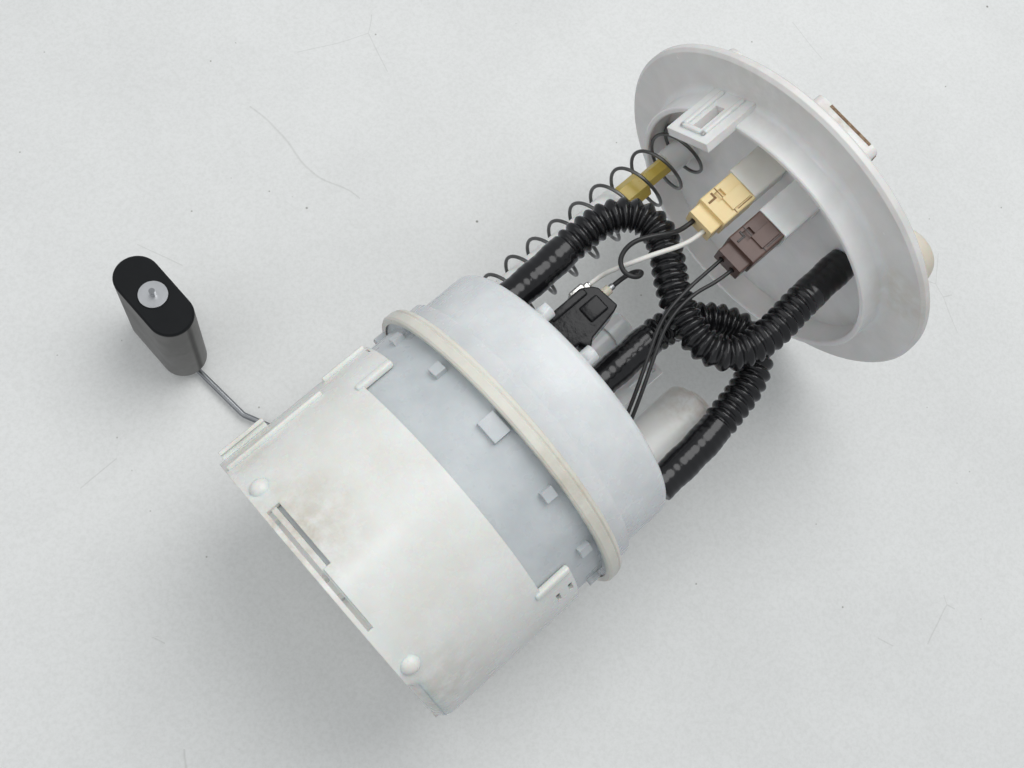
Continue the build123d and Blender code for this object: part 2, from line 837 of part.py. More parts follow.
cap_nipple = hose_nipple((*hose_b_pump, pump_neck_z), (0, 0, 1))
with BuildPart() as outlet_cap:
    with BuildSketch(Plane.XY.offset(pump_can_top - 8)):
        with Locations(pump_point):
            Circle(pump_inner)
    extrude(amount=8)
    with BuildSketch(Plane.XY.offset(pump_can_top)):
        with Locations(pump_point):
            Circle(pump_r)
    extrude(amount=3)
    with BuildSketch(Plane.XY.offset(pump_can_top + 3)):
        with Locations(pump_point):
            Circle(pump_neck_r)
    extrude(amount=pump_neck_z - pump_can_top - 3)
    fillet(outlet_cap.faces().sort_by(Axis.Z)[-1].edges(), 1.0)
    with Locations(Location((*pump_point, pump_can_top - 8), (180, 0, 0))):
        Hole(shaft_r + running, depth=shaft_top - pump_can_top + 8 + 0.6)
    add(cap_nipple)
    # Outlet bore with the valve's seat
    with Locations((*hose_b_pump, pump_neck_z + nipple_length)):
        Hole(nipple_bore, depth=nipple_length + 6)
    with Locations((*hose_b_pump, pump_can_top - 8)):
        valve_passage = pump_neck_z - pump_can_top + 4
        Cylinder(poppet_stem_r + 0.5, valve_passage, align=(Align.CENTER, Align.CENTER, Align.MIN), mode=Mode.SUBTRACT)
write(outlet_cap, "pump_outlet_cap")

# Rotor: shaft, wound armature and commutator
with BuildPart() as armature:
    with BuildSketch(Plane.XY.offset(shaft_z)):
        with Locations(pump_point):
            Circle(shaft_r)
    extrude(amount=shaft_top - shaft_z)
    with BuildSketch(Plane.XY.offset(armature_z)):
        with Locations(pump_point):
            Circle(armature_r)
            with PolarLocations(armature_r, armature_slots):
                Rectangle(5, 2.2, mode=Mode.SUBTRACT)
    extrude(amount=armature_height)
    with BuildSketch(Plane.XY.offset(armature_z + armature_height)):
        with Locations(pump_point):
            Circle(commutator_r)
    extrude(amount=8)
write(armature, "armature")

with BuildPart() as impeller:
    with BuildSketch(Plane.XY.offset(impeller_z)):
        with Locations(pump_point):
            Circle(impeller_r)
            with PolarLocations(impeller_r, impeller_vanes):
                Rectangle(5, 2.4, mode=Mode.SUBTRACT)
            Circle(shaft_r, mode=Mode.SUBTRACT)
    extrude(amount=impeller_height)
write(impeller, "impeller")

# Check valve poppet in the pump's outlet
poppet_z = pump_neck_z - 6 + seat_lift
with BuildPart() as poppet:
    with BuildSketch(Plane.XY.offset(poppet_z)):
        with Locations(hose_b_pump):
            Circle(poppet_r)
    extrude(amount=1.6)
    with BuildSketch(Plane.XY.offset(poppet_z)):
        with Locations(hose_b_pump):
            Circle(poppet_stem_r)
    extrude(amount=-5)
write(poppet, "check_poppet")

# Rubber collar that holds the pump's neck in the lid
with BuildPart() as collar:
    with BuildSketch(Plane.XY.offset(lid_top - lid_plate)):
        with Locations(pump_point):
            Circle(pump_neck_r + 2.4)
            Circle(pump_neck_r, mode=Mode.SUBTRACT)
    extrude(amount=lid_plate)
    with BuildSketch(Plane.XY.offset(lid_top)):
        with Locations(pump_point):
            Circle(pump_neck_r + 3.6)
            Circle(pump_neck_r, mode=Mode.SUBTRACT)
    extrude(amount=1.4)
write(collar, "pump_collar")

# Strainer on the pot's floor under the pump
with BuildPart() as strainer:
    with BuildSketch(Plane.XY.offset(pot_floor_top)):
        with Locations(pump_point):
            RectangleRounded(strainer_size[0], strainer_size[1], 9)
    extrude(amount=strainer_size[2])
    fillet(strainer.faces().sort_by(Axis.Z)[-1].edges(), 1.4)
write(strainer, "inlet_strainer")

# Foot valve: rubber disc with a stem through the floor
with BuildPart() as foot_valve:
    with BuildSketch(Plane.XY.offset(pot_floor_top + seat_lift)):
        with Locations((foot_valve_x, foot_valve_y)):
            Circle(foot_valve_r)
    extrude(amount=foot_valve_thickness)
    with BuildSketch(Plane.XY.offset(pot_floor_top + seat_lift)):
        with Locations((foot_valve_x, foot_valve_y)):
            Circle(foot_valve_hole)
    extrude(amount=-pot_floor)
write(foot_valve, "foot_valve")

# Jet pump tube on the floor
with BuildPart() as jet:
    with BuildSketch(Plane(origin=(jet_x, jet_y, pot_floor_top + jet_r), z_dir=(0, 1, 0))):
        Circle(jet_r)
        Circle(jet_r - 1.2, mode=Mode.SUBTRACT)
    extrude(amount=jet_length)
    with BuildSketch(Plane.XY.offset(pot_floor_top)):
        with Locations((jet_x, jet_y + 4), (jet_x, jet_y + jet_length - 4)):
            Rectangle(2 * jet_r, 3)
    extrude(amount=jet_r)
    with BuildSketch(Plane(origin=(jet_x, jet_y, pot_floor_top + jet_r), z_dir=(0, 1, 0))):
        Circle(jet_r - 1.2)
    extrude(amount=jet_length, mode=Mode.SUBTRACT)
write(jet, "jet_pump")

# Pump plug: wedge that stands on the pump's neck
with BuildPart() as plug:
    with BuildSketch(Plane.XZ.offset(-plug_front)):
        with BuildLine():
            Polyline(
                (plug_left + 4.0, pump_neck_z),
                (plug_left, pump_neck_z + 3.5),
                (plug_left, plug_shoulder),
                (plug_left + 5.0, plug_shoulder + 3.5),
                (plug_left + 13.0, plug_top),
                (plug_left + 16.0, plug_top - 2.5),
                (plug_right, pump_neck_z + 8.0),
                (plug_right - 1.5, pump_neck_z),
                (plug_left + 4.0, pump_neck_z),
            )
        make_face()
    extrude(amount=plug_front - plug_back)
    # Fins on the front and the pockets of the two terminals
    for x in (plug_left + 3.0, plug_left + 7.4, plug_left + 11.8):
        with Locations((x, plug_front - 0.5, pump_neck_z + 9.5)):
            Box(1.2, 1.4, 11)
    for x, y, z in terminal_points:
        with Locations((x, y, z)):
            Cylinder(terminal_r, 30, align=(Align.CENTER, Align.CENTER, Align.MIN), mode=Mode.SUBTRACT)
write(plug, "pump_plug")

# Crimp terminals in the plug
with BuildPart() as terminals:
    for x, y, z in terminal_points:
        with BuildSketch(Plane.XY.offset(z)):
            with Locations((x, y)):
                RectangleRounded(2.4, 2.4, 0.4)
        extrude(amount=terminal_length * 0.55)
        with BuildSketch(Plane.XY.offset(z + terminal_length * 0.55)):
            with Locations((x, y)):
                Circle(1.25)
        extrude(amount=terminal_length * 0.45)
write(terminals, "crimp_terminals")

# Sender holder: plate on the shell's flat with side walls and a pivot hole
holder_y = sender_flat + seat_lift
plate_y = holder_y + holder_standoff
holder_width = holder_x[1] - holder_x[0]
holder_mid = (holder_x[0] + holder_x[1]) / 2
holder_height = holder_z[1] - holder_z[0]
with BuildPart() as holder:
    with BuildSketch(Plane.XZ.offset(-plate_y)):
        with Locations((holder_mid, (holder_z[0] + holder_z[1]) / 2)):
            RectangleRounded(holder_width, holder_height, 3.0)
    extrude(amount=-holder_depth)
    with BuildSketch(Plane.XZ.offset(-holder_y)):
        with Locations((holder_mid, (holder_z[0] + holder_z[1]) / 2)):
            RectangleRounded(holder_width, holder_height, 3.0)
            Rectangle(holder_width - 2 * holder_rib, holder_height - 2 * holder_rib, mode=Mode.SUBTRACT)
    extrude(amount=-(plate_y - holder_y))
    # Raised pivot post and the window beside the card
    with BuildSketch(Plane.XZ.offset(-plate_y)):
        with Locations((pivot_x, pivot_z)):
            Circle(pivot_r + 2.2)
    extrude(amount=-(hub_y - seat_lift - plate_y))
    with BuildSketch(Plane.XZ.offset(-holder_y)):
        with Locations((pivot_x, pivot_z)):
            Circle(pivot_r + running)
        with Locations(holder_window[:2]):
            RectangleRounded(*holder_window[2:], 2)
    extrude(amount=-20, mode=Mode.SUBTRACT)
write(holder, "sender_holder")

# Resistor card on the holder
card_y = plate_y + holder_depth
with BuildPart() as card:
    with BuildSketch(Plane.XZ.offset(-card_y)):
        with Locations(((card_x[0] + card_x[1]) / 2, (card_z[0] + card_z[1]) / 2)):
            Rectangle(card_x[1] - card_x[0], card_z[1] - card_z[0])
    extrude(amount=-card_thickness)
write(card, "resistor_card")

# Arm hub with its pivot pin, bored along the wire
bend = Vector(arm_bend[0], arm_y, arm_bend[1])
pivot = Vector(pivot_x, arm_y, pivot_z)
arm_dir = (bend - pivot).normalized()
arm_tail = pivot - arm_dir * (hub_r - 1.0)
wiper_dir = Vector(math.cos(math.radians(wiper_angle)), 0, math.sin(math.radians(wiper_angle)))
with BuildPart() as hub:
    with BuildSketch(Plane.XZ.offset(-hub_y)):
        with Locations((pivot_x, pivot_z)):
            Circle(hub_r)
    extrude(amount=-hub_thickness)
    with BuildSketch(Plane.XZ.offset(-hub_y)):
        with Locations((pivot_x, pivot_z)):
            Circle(pivot_r)
    extrude(amount=hub_y - holder_y - 0.6)
    with BuildSketch(Plane(origin=arm_tail, z_dir=arm_dir)):
        Circle(arm_r + running)
    extrude(amount=3 * hub_r, mode=Mode.SUBTRACT)
    # Arm of the wiper on the far side of the pivot
    with BuildSketch(Plane(origin=(pivot_x, hub_y, pivot_z), x_dir=wiper_dir, z_dir=(0, 1, 0))):
        with Locations((hub_r * 0.9, 0)):
            Rectangle(hub_r, wiper_width + 2)
    extrude(amount=3.0)
write(hub, "arm_hub")

# Wiper leaf with its two contacts over the card
wiper_y = hub_y - wiper_thickness
with BuildPart() as wiper:
    with BuildSketch(Plane(origin=(pivot_x, wiper_y, pivot_z), x_dir=wiper_dir, z_dir=(0, 1, 0))):
        with Locations(((hub_r + wiper_reach) / 2, 0)):
            Rectangle(wiper_reach - hub_r, wiper_width)
            with Locations((3.0, 0)):
                Rectangle(wiper_reach - hub_r - 6, wiper_width * 0.3, mode=Mode.SUBTRACT)
    extrude(amount=wiper_thickness)
write(wiper, "wiper")

# Float arm: one bent wire from the hub through the float
lean = Vector(*float_lean).normalized()
foot = Vector(*float_foot)
elbow = foot - lean * ((arm_y - float_foot[1]) / -lean.Y)
wire_end = foot + lean * (float_depth + washer_thickness + arm_end_proud)
with BuildPart() as arm:
    with BuildLine():
        FilletPolyline(
            tuple(arm_tail), tuple(bend), tuple(elbow), tuple(wire_end), radius=[arm_bend_radius, arm_elbow_radius]
        )
    with BuildSketch(Plane(origin=arm_tail, z_dir=arm_dir)):
        Circle(arm_r)
    sweep()
write(arm, "float_arm_wire")

# Float on the wire's end
float_gap = 2.6
float_start = foot + lean * float_gap
float_plane = Plane(origin=float_start, x_dir=(1, 0, 0), z_dir=lean)
with BuildPart() as float_body:
    with BuildSketch(float_plane):
        SlotOverall(float_length, float_width)
    extrude(amount=float_depth - float_gap)
    ends = float_body.faces().filter_by(float_plane).edges()
    chamfer(ends, float_edge)
    with BuildSketch(float_plane):
        Circle(arm_r + running)
    extrude(amount=float_depth, mode=Mode.SUBTRACT)
write(float_body, "float")

# Push-on washer that keeps the float on the wire
washer_plane = Plane(origin=foot + lean * float_depth, x_dir=(1, 0, 0), z_dir=lean)
with BuildPart() as washer:
    with BuildSketch(washer_plane):
        Circle(washer_r)
        Circle(arm_r, mode=Mode.SUBTRACT)
    extrude(amount=washer_thickness)
write(washer, "float_washer")

# Hose from the lid to the flange, in a double bend
cord_tube(
    "hose_a",
    [
        (*hose_a_lid, lid_top + hose_end_gap),
        (*hose_a_lid, 128.6),
        (-36.7, -18.0, 148.2),
        (-35.4, -18.2, 161.0),
        (-29.6, -18.4, 168.9),
        (-20.2, -18.9, 171.2),
        (-10.8, -20.2, 166.4),
        (-1.6, -21.6, 159.2),
        (9.4, -22.4, 153.6),
        (21.4, -22.6, 151.4),
        (31.6, -22.3, 156.2),
        (35.4, -21.4, 171.6),
        (*hose_a_flange, 193.6),
        (*hose_a_flange, flange_z - hose_end_gap),
    ],
    hose_r,
    nipple_r + running,
)

# Hose from the pump's outlet to the filter on the lid, in an arch
cord_tube(
    "hose_b",
    [
        (*hose_b_pump, pump_neck_z + hose_end_gap),
        (*hose_b_pump, 130.4),
        (7.0, -9.3, 148.6),
        (10.8, -6.9, 160.4),
        (18.6, -5.0, 170.4),
        (29.2, -4.3, 175.0),
        (38.4, -4.3, 170.6),
        (43.2, -4.8, 160.6),
        (45.1, -5.8, 149.0),
        (*hose_b_lid, 128.6),
        (*hose_b_lid, lid_top + hose_end_gap),
    ],
    hose_r,
    nipple_r + running,
)

# White wire from the cream connector to the first terminal
cream_x = cream_post_x + 0.6
cream_low = cream_post_z - connector_length
brown_low = white_post_z - connector_length
connector_x = white_post_x - 0.2
wire_y = post_y + 0.6
terminal_tops = [(x, y, z + terminal_length) for x, y, z in terminal_points]
cord_tube(
    "white_wire",
    [
        (cream_x + wire_pitch, wire_y, cream_low + 2.6),
        (cream_x + wire_pitch, wire_y, cream_low - 4.2),
        (-8.8, -31.6, 166.4),
        (-11.8, -32.6, 158.6),
        (-14.8, -31.2, 151.2),
        (-17.8, -27.4, 145.4),
        (terminal_tops[0][0], terminal_tops[0][1], terminal_tops[0][2] + 4.6),
        (terminal_tops[0][0], terminal_tops[0][1], terminal_tops[0][2] + 0.1),
    ],
    wire_r,
)

# Black wire from the cream connector, with a small loop before its terminal
cord_tube(
    "black_wire",
    [
        (cream_x - wire_pitch, wire_y, cream_low + 2.6),
        (cream_x - wire_pitch, wire_y, cream_low - 4.2),
        (-13.6, -33.4, 167.4),
        (-17.2, -35.2, 160.6),
        (-20.2, -35.0, 153.6),
        (-18.8, -33.4, 147.0),
        (-13.6, -32.2, 145.0),
        (-9.6, -31.2, 148.2),
        (-10.6, -28.0, 152.2),
        (-13.4, -23.6, 151.4),
        (terminal_tops[1][0], terminal_tops[1][1], terminal_tops[1][2] + 4.0),
        (terminal_tops[1][0], terminal_tops[1][1], terminal_tops[1][2] + 0.1),
    ],
    wire_r,
)

# Two thin wires from the brown connector, over the lid and down to the resistor card
for label, side in (("sender_wire_left", -1), ("sender_wire_right", 1)):
    cord_tube(
        label,
        [
            (connector_x + side * wire_pitch, wire_y, brown_low + 2.6),
            (connector_x + side * wire_pitch, wire_y, brown_low - 5.4),
            (5.8 + side * 1.2, -32.4, 157.6),
            (7.4 + side * 1.1, -31.8, 144.4),
            (14.0 + side * 1.1, -29.9, 132.2),
            (20.6 + side * 1.1, -27.4, 120.4),
            (25.4 + side * 1.1, -21.0, 111.6),
            (26.4 + side * 1.1, -9.0, 110.8),
            (21.8 + side * 1.1, 4.0, 110.8),
            (21.2 + side * 1.1, 20.0, 110.8),
            (19.4 + side * 1.1, 35.0, 110.8),
            (18.4 + side * 1.1, 49.0, 111.8),
            (18.0 + side * 1.1, 59.8, 104.6),
            (18.2 + side * 1.1, 63.4, 92.0),
            (17.4 + side * 1.1, 63.6, 78.6),
            (14.6 + side * 1.4, 58.4, 69.6),
            (9.4 + side * 2.6, 51.4, 67.4),
            (7.0 + side * 3.0, card_y + card_thickness + sender_wire_r + 0.3, 62.6),
        ],
        sender_wire_r,
    )
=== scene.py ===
"""In-tank fuel pump module with its float arm, seen lying on a pale bench."""

import bmesh
import bpy
import math
import numpy as np
from mathutils import Matrix, Vector


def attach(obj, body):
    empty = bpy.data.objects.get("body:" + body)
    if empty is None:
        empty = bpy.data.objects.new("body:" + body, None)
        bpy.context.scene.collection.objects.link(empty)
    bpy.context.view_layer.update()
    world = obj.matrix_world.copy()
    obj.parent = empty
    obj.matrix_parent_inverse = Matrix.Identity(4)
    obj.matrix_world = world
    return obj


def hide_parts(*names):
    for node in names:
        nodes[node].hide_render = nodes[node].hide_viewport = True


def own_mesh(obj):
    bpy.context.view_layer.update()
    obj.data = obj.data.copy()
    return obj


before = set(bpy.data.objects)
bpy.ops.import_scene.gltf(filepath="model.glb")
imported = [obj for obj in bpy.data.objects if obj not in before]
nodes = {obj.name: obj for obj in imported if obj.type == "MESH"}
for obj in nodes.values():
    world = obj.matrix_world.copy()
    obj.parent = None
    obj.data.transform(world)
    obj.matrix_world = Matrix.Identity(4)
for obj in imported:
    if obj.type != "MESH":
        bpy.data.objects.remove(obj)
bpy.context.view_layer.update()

# Camera
# A hand-held view of the bench from above, with the module lying across the picture from the
# pot at the lower left to the tank flange at the upper right.
view_point = Vector((0.041366, -0.420512, 0.003668))
view_right = Vector((0.664723, -0.076851, 0.743127))
view_up = Vector((-0.736076, -0.237537, 0.633851))
view_back = view_right.cross(view_up)
lens_mm = 42.19

camera = bpy.data.objects.new("camera", bpy.data.cameras.new("camera"))
bpy.context.scene.collection.objects.link(camera)
view_turn = Matrix((view_right, view_up, view_back)).transposed().to_4x4()
camera.matrix_world = Matrix.Translation(view_point) @ view_turn
camera.data.lens = lens_mm
camera.data.sensor_width = 36.0
camera.data.clip_start = 0.01
bpy.context.scene.camera = camera
bpy.context.scene.view_settings.view_transform = "Standard"

# Bench and light
# A painted bench top, pale and scratched, which leans on the module's ring and flange. A large soft
# lamp shines from the picture's upper right, a weaker one from its left, a narrow one from beside
# the camera and a faint one from behind.
bench_gap = 0.061
bench_slope = 0.0878
bench_ring_z = 0.078
bench_half = 1.1
bench_colour = (0.785, 0.793, 0.778)
middle = Vector((-0.02, 0.0, 0.11))
# Each lamp: the way to it in the camera's right, up and back, its size, its distance and its power
lamps = {
    "key": (Vector((0.55, 0.80, 1.0)), 0.8, 0.9, 4.4),
    "fill": (Vector((-0.9, 0.1, 1.0)), 1.2, 1.0, 1.8),
    "rim": (Vector((0.2, 0.5, -1.0)), 1.3, 1.0, 0.35),
    "strip": (Vector((0.05, 0.12, 1.0)), 0.22, 1.3, 0.9),
}


def new_material(name):
    """Empty node material and its links and nodes."""
    material = bpy.data.materials.new(name)
    material.use_nodes = True
    material.node_tree.nodes.clear()
    return material, material.node_tree.nodes, material.node_tree.links


def noise(tree_nodes, links, coordinates, scale, detail=3.0, rough=0.55):
    """Noise texture on the given coordinates."""
    texture = tree_nodes.new("ShaderNodeTexNoise")
    texture.inputs["Scale"].default_value = scale
    texture.inputs["Detail"].default_value = detail
    texture.inputs["Roughness"].default_value = rough
    links.new(coordinates, texture.inputs["Vector"])
    return texture.outputs["Fac"]


def ramp(tree_nodes, links, value, stops):
    """Colour ramp over (position, colour) stops."""
    mapped = tree_nodes.new("ShaderNodeValToRGB")
    elements = mapped.color_ramp.elements
    while len(elements) < len(stops):
        elements.new(0.5)
    for element, (position, colour) in zip(elements, stops):
        element.position = position
        element.color = (*colour, 1.0)
    links.new(value, mapped.inputs["Fac"])
    return mapped.outputs["Color"]


def bench_material():
    """Painted surface with a fine grain, thin curved scratches along the edges of large cells, and dark
    specks at the middles of small ones. Only the camera sees it; other rays pass, so that the light
    reaches all sides of the module."""
    material, tree, links = new_material("bench_paint")
    out = tree.new("ShaderNodeOutputMaterial")
    place = tree.new("ShaderNodeTexCoord").outputs["Object"]
    mottle = noise(tree, links, place, 9.0, 5.0, 0.65)
    colour = ramp(tree, links, mottle, [
        (0.30, tuple(c * 0.955 for c in bench_colour)),
        (0.68, tuple(min(1.0, c * 1.035) for c in bench_colour)),
    ])
    paint = tree.new("ShaderNodeBsdfPrincipled")
    paint.inputs["Roughness"].default_value = 0.62
    paint.inputs["Specular IOR Level"].default_value = 0.25
    bare = (1.0, 1.0, 1.0)
    speckle = noise(tree, links, place, 620.0, 3.0, 0.7)
    grain = ramp(tree, links, speckle, [(0.33, (0.93, 0.93, 0.925)), (0.60, bare)])
    bent = tree.new("ShaderNodeVectorMath")
    bent.operation = "MULTIPLY_ADD"
    links.new(noise(tree, links, place, 5.0, 3.0), bent.inputs[0])
    bent.inputs[1].default_value = (0.05, 0.05, 0.05)
    links.new(place, bent.inputs[2])
    marks = []
    for pattern, source, size, width, shade, kept in (
        ("DISTANCE_TO_EDGE", bent.outputs["Vector"], 13.0, 0.0028, (0.84, 0.84, 0.83), 0.60),
        ("F1", place, 95.0, 0.050, (0.50, 0.49, 0.46), 0.54),
        ("F1", place, 27.0, 0.020, (0.30, 0.29, 0.27), 0.50),
    ):
        cells = tree.new("ShaderNodeTexVoronoi")
        cells.feature = pattern
        cells.inputs["Scale"].default_value = size
        links.new(source, cells.inputs["Vector"])
        line = ramp(tree, links, cells.outputs["Distance"], [(width * 0.4, shade), (width, bare)])
        gate = tree.new("ShaderNodeMath")
        gate.operation = "GREATER_THAN"
        gate.inputs[1].default_value = kept
        links.new(noise(tree, links, place, size * 0.9, 2.0), gate.inputs[0])
        some = tree.new("ShaderNodeMix")
        some.data_type = "RGBA"
        some.inputs[6].default_value = (*bare, 1.0)
        links.new(gate.outputs["Value"], some.inputs["Factor"])
        links.new(line, some.inputs[7])
        marks.append(some.outputs[2])
    for layer in [grain] + marks:
        darker = tree.new("ShaderNodeMix")
        darker.data_type = "RGBA"
        darker.blend_type = "MULTIPLY"
        darker.inputs["Factor"].default_value = 1.0
        links.new(colour, darker.inputs[6])
        links.new(layer, darker.inputs[7])
        colour = darker.outputs[2]
    links.new(colour, paint.inputs["Base Color"])
    bump = tree.new("ShaderNodeBump")
    bump.inputs["Strength"].default_value = 0.06
    bump.inputs["Distance"].default_value = 0.0006
    links.new(noise(tree, links, place, 260.0, 4.0, 0.6), bump.inputs["Height"])
    links.new(bump.outputs["Normal"], paint.inputs["Normal"])
    clear = tree.new("ShaderNodeBsdfTransparent")
    rays = tree.new("ShaderNodeLightPath")
    side = tree.new("ShaderNodeNewGeometry")
    front = tree.new("ShaderNodeMath")
    front.operation = "SUBTRACT"
    front.use_clamp = True
    links.new(rays.outputs["Is Camera Ray"], front.inputs[0])
    links.new(side.outputs["Backfacing"], front.inputs[1])
    mix = tree.new("ShaderNodeMixShader")
    links.new(front.outputs["Value"], mix.inputs["Fac"])
    links.new(clear.outputs["BSDF"], mix.inputs[1])
    links.new(paint.outputs["BSDF"], mix.inputs[2])
    links.new(mix.outputs["Shader"], out.inputs["Surface"])
    return material


bench_mesh = bpy.data.meshes.new("bench")
reach = np.array([[-1, -1], [1, -1], [1, 1], [-1, 1]]) * bench_half
corners = np.stack([reach[:, 0], bench_gap + bench_slope * reach[:, 1], bench_ring_z + reach[:, 1]], 1)
bench_mesh.from_pydata(corners.tolist(), [], [(0, 1, 2, 3)])
bench = bpy.data.objects.new("bench", bench_mesh)
bpy.context.scene.collection.objects.link(bench)
bench.data.materials.append(bench_material())

for lamp_name, (toward, size, distance, power) in lamps.items():
    direction = (view_right * toward.x + view_up * toward.y + view_back * toward.z).normalized()
    lamp = bpy.data.objects.new(lamp_name, bpy.data.lights.new(lamp_name, "AREA"))
    lamp.data.shape = "DISK"
    lamp.data.size = size
    lamp.data.energy = power
    lamp.location = middle + direction * distance
    lamp.rotation_euler = direction.to_track_quat("Z", "Y").to_euler()
    bpy.context.scene.collection.objects.link(lamp)

world = bpy.data.worlds.new("room")
world.use_nodes = True
world.node_tree.nodes.clear()
room_light = world.node_tree.nodes.new("ShaderNodeBackground")
room_light.inputs["Color"].default_value = (0.93, 0.96, 1.0, 1.0)
room_light.inputs["Strength"].default_value = 0.46
room_seen = world.node_tree.nodes.new("ShaderNodeBackground")
room_seen.inputs["Color"].default_value = (*bench_colour, 1.0)
room_rays = world.node_tree.nodes.new("ShaderNodeLightPath")
room_mix = world.node_tree.nodes.new("ShaderNodeMixShader")
room_out = world.node_tree.nodes.new("ShaderNodeOutputWorld")
world.node_tree.links.new(room_rays.outputs["Is Camera Ray"], room_mix.inputs["Fac"])
world.node_tree.links.new(room_light.outputs["Background"], room_mix.inputs[1])
world.node_tree.links.new(room_seen.outputs["Background"], room_mix.inputs[2])
world.node_tree.links.new(room_mix.outputs["Shader"], room_out.inputs["Surface"])
bpy.context.scene.world = world


# Pot, shell, lid and ring
# Natural nylon mouldings, milky and a little yellowed; the shell is whiter and glossier than the
# bluish pot inside it, and the cream ring snaps over both rims.


def moulded(
    name, colour, other, rough, patch=60.0, grain=900.0, relief=0.00004, soft=0.0, edge=0.0, metal=0.0,
):
    """Finish of a moulded or stamped piece: two close colours mixed in cloudy patches, a fine relief,
    roughness that wanders with the patches, and a share of light that scatters under the skin."""
    material, tree, links = new_material(name)
    out = tree.new("ShaderNodeOutputMaterial")
    place = tree.new("ShaderNodeTexCoord").outputs["Object"]
    skin = tree.new("ShaderNodeBsdfPrincipled")
    skin.inputs["Metallic"].default_value = metal
    skin.inputs["Subsurface Weight"].default_value = soft
    skin.inputs["Subsurface Scale"].default_value = 0.003
    cloud = noise(tree, links, place, patch, 4.0, 0.6)
    links.new(ramp(tree, links, cloud, [(0.36, colour), (0.66, other)]), skin.inputs["Base Color"])
    wander = tree.new("ShaderNodeMapRange")
    wander.inputs["To Min"].default_value = rough * 0.8
    wander.inputs["To Max"].default_value = rough * 1.25
    links.new(noise(tree, links, place, patch * 3.1, 2.0), wander.inputs["Value"])
    links.new(wander.outputs["Result"], skin.inputs["Roughness"])
    bump = tree.new("ShaderNodeBump")
    bump.inputs["Strength"].default_value = 0.5
    bump.inputs["Distance"].default_value = relief
    links.new(noise(tree, links, place, grain, 3.0), bump.inputs["Height"])
    if edge:
        rounding = tree.new("ShaderNodeBevel")
        rounding.samples = 4
        rounding.inputs["Radius"].default_value = edge
        links.new(rounding.outputs["Normal"], bump.inputs["Normal"])
    links.new(bump.outputs["Normal"], skin.inputs["Normal"])
    links.new(skin.outputs["BSDF"], out.inputs["Surface"])
    return material


def shader(material):
    """The one shader of a finish."""
    return next(n for n in material.node_tree.nodes if n.type == "BSDF_PRINCIPLED")


def colour_over(material, share, colour, blend="MIX"):
    """Lays a colour over a finish's own colour, by a share that changes from point to point."""
    tree, links = material.node_tree.nodes, material.node_tree.links
    base = shader(material).inputs["Base Color"]
    mixed = tree.new("ShaderNodeMix")
    mixed.data_type = "RGBA"
    mixed.blend_type = blend
    links.new(share, mixed.inputs["Factor"])
    links.new(base.links[0].from_socket, mixed.inputs[6])
    mixed.inputs[7].default_value = (*colour, 1.0)
    links.new(mixed.outputs[2], base)


def stain(material, centre, reach, colour, strength):
    """Mixes a second colour into a finish: strongest at a point, fading in a straight line with the
    distance from it to nothing at its reach, and broken up by noise."""
    tree, links = material.node_tree.nodes, material.node_tree.links
    place = tree.new("ShaderNodeTexCoord").outputs["Object"]
    away = tree.new("ShaderNodeVectorMath")
    away.operation = "DISTANCE"
    links.new(place, away.inputs[0])
    away.inputs[1].default_value = centre
    fade = tree.new("ShaderNodeMapRange")
    fade.inputs["From Max"].default_value = reach
    fade.inputs["To Min"].default_value = strength
    fade.inputs["To Max"].default_value = 0.0
    links.new(away.outputs["Value"], fade.inputs["Value"])
    broken = tree.new("ShaderNodeMapRange")
    broken.inputs["From Min"].default_value = 0.35
    broken.inputs["From Max"].default_value = 0.60
    links.new(noise(tree, links, place, 160.0, 5.0, 0.65), broken.inputs["Value"])
    amount = tree.new("ShaderNodeMath")
    amount.operation = "MULTIPLY"
    links.new(fade.outputs["Result"], amount.inputs[0])
    links.new(broken.outputs["Result"], amount.inputs[1])
    colour_over(material, amount.outputs["Value"], colour)


def dress(material, slot, *names):
    """Gives CAD nodes their finish."""
    for name in names:
        node = nodes[name]
        node.data.materials.clear()
        node.data.materials.append(material)


shell_finish = moulded("shell_nylon", (0.80, 0.79, 0.74), (0.86, 0.86, 0.83), 0.26, soft=0.25, edge=0.0005)
pot_finish = moulded("pot_nylon", (0.53, 0.565, 0.58), (0.62, 0.655, 0.665), 0.28, soft=0.12, edge=0.0004)
lid_finish = moulded("lid_nylon", (0.68, 0.705, 0.71), (0.77, 0.79, 0.79), 0.26, soft=0.15, edge=0.0004)
ring_finish = moulded("ring_nylon", (0.70, 0.68, 0.60), (0.79, 0.775, 0.70), 0.30, soft=0.2, edge=0.0004)
stain(shell_finish, (-0.0150, -0.0570, 0.0030), 0.026, (0.42, 0.36, 0.25), 0.6)
stain(shell_finish, (-0.0500, -0.0250, 0.0040), 0.024, (0.50, 0.46, 0.36), 0.45)
stain(shell_finish, (0.0480, -0.0300, 0.0060), 0.026, (0.47, 0.45, 0.36), 0.45)
stain(ring_finish, (0.0300, -0.0520, 0.0770), 0.030, (0.50, 0.46, 0.36), 0.5)
dress(pot_finish, "pot_plastic", "inner_pot")
dress(lid_finish, "lid_plastic", "lid")
dress(ring_finish, "ring_plastic", "retaining_ring")

# Outer shell
# One thin moulding: a flat-backed cup whose front wall stops at half height between two towers,
# with windows over its lower lip, a rounded lower corner, knobs, ribs and a guard beside the arm.


def smooth(mesh, sharp_degrees):
    """Smooth shading that breaks where two faces meet at more than the given angle."""
    mesh.polygons.foreach_set("use_smooth", [True] * len(mesh.polygons))
    mesh.set_sharp_from_angle(angle=math.radians(sharp_degrees))


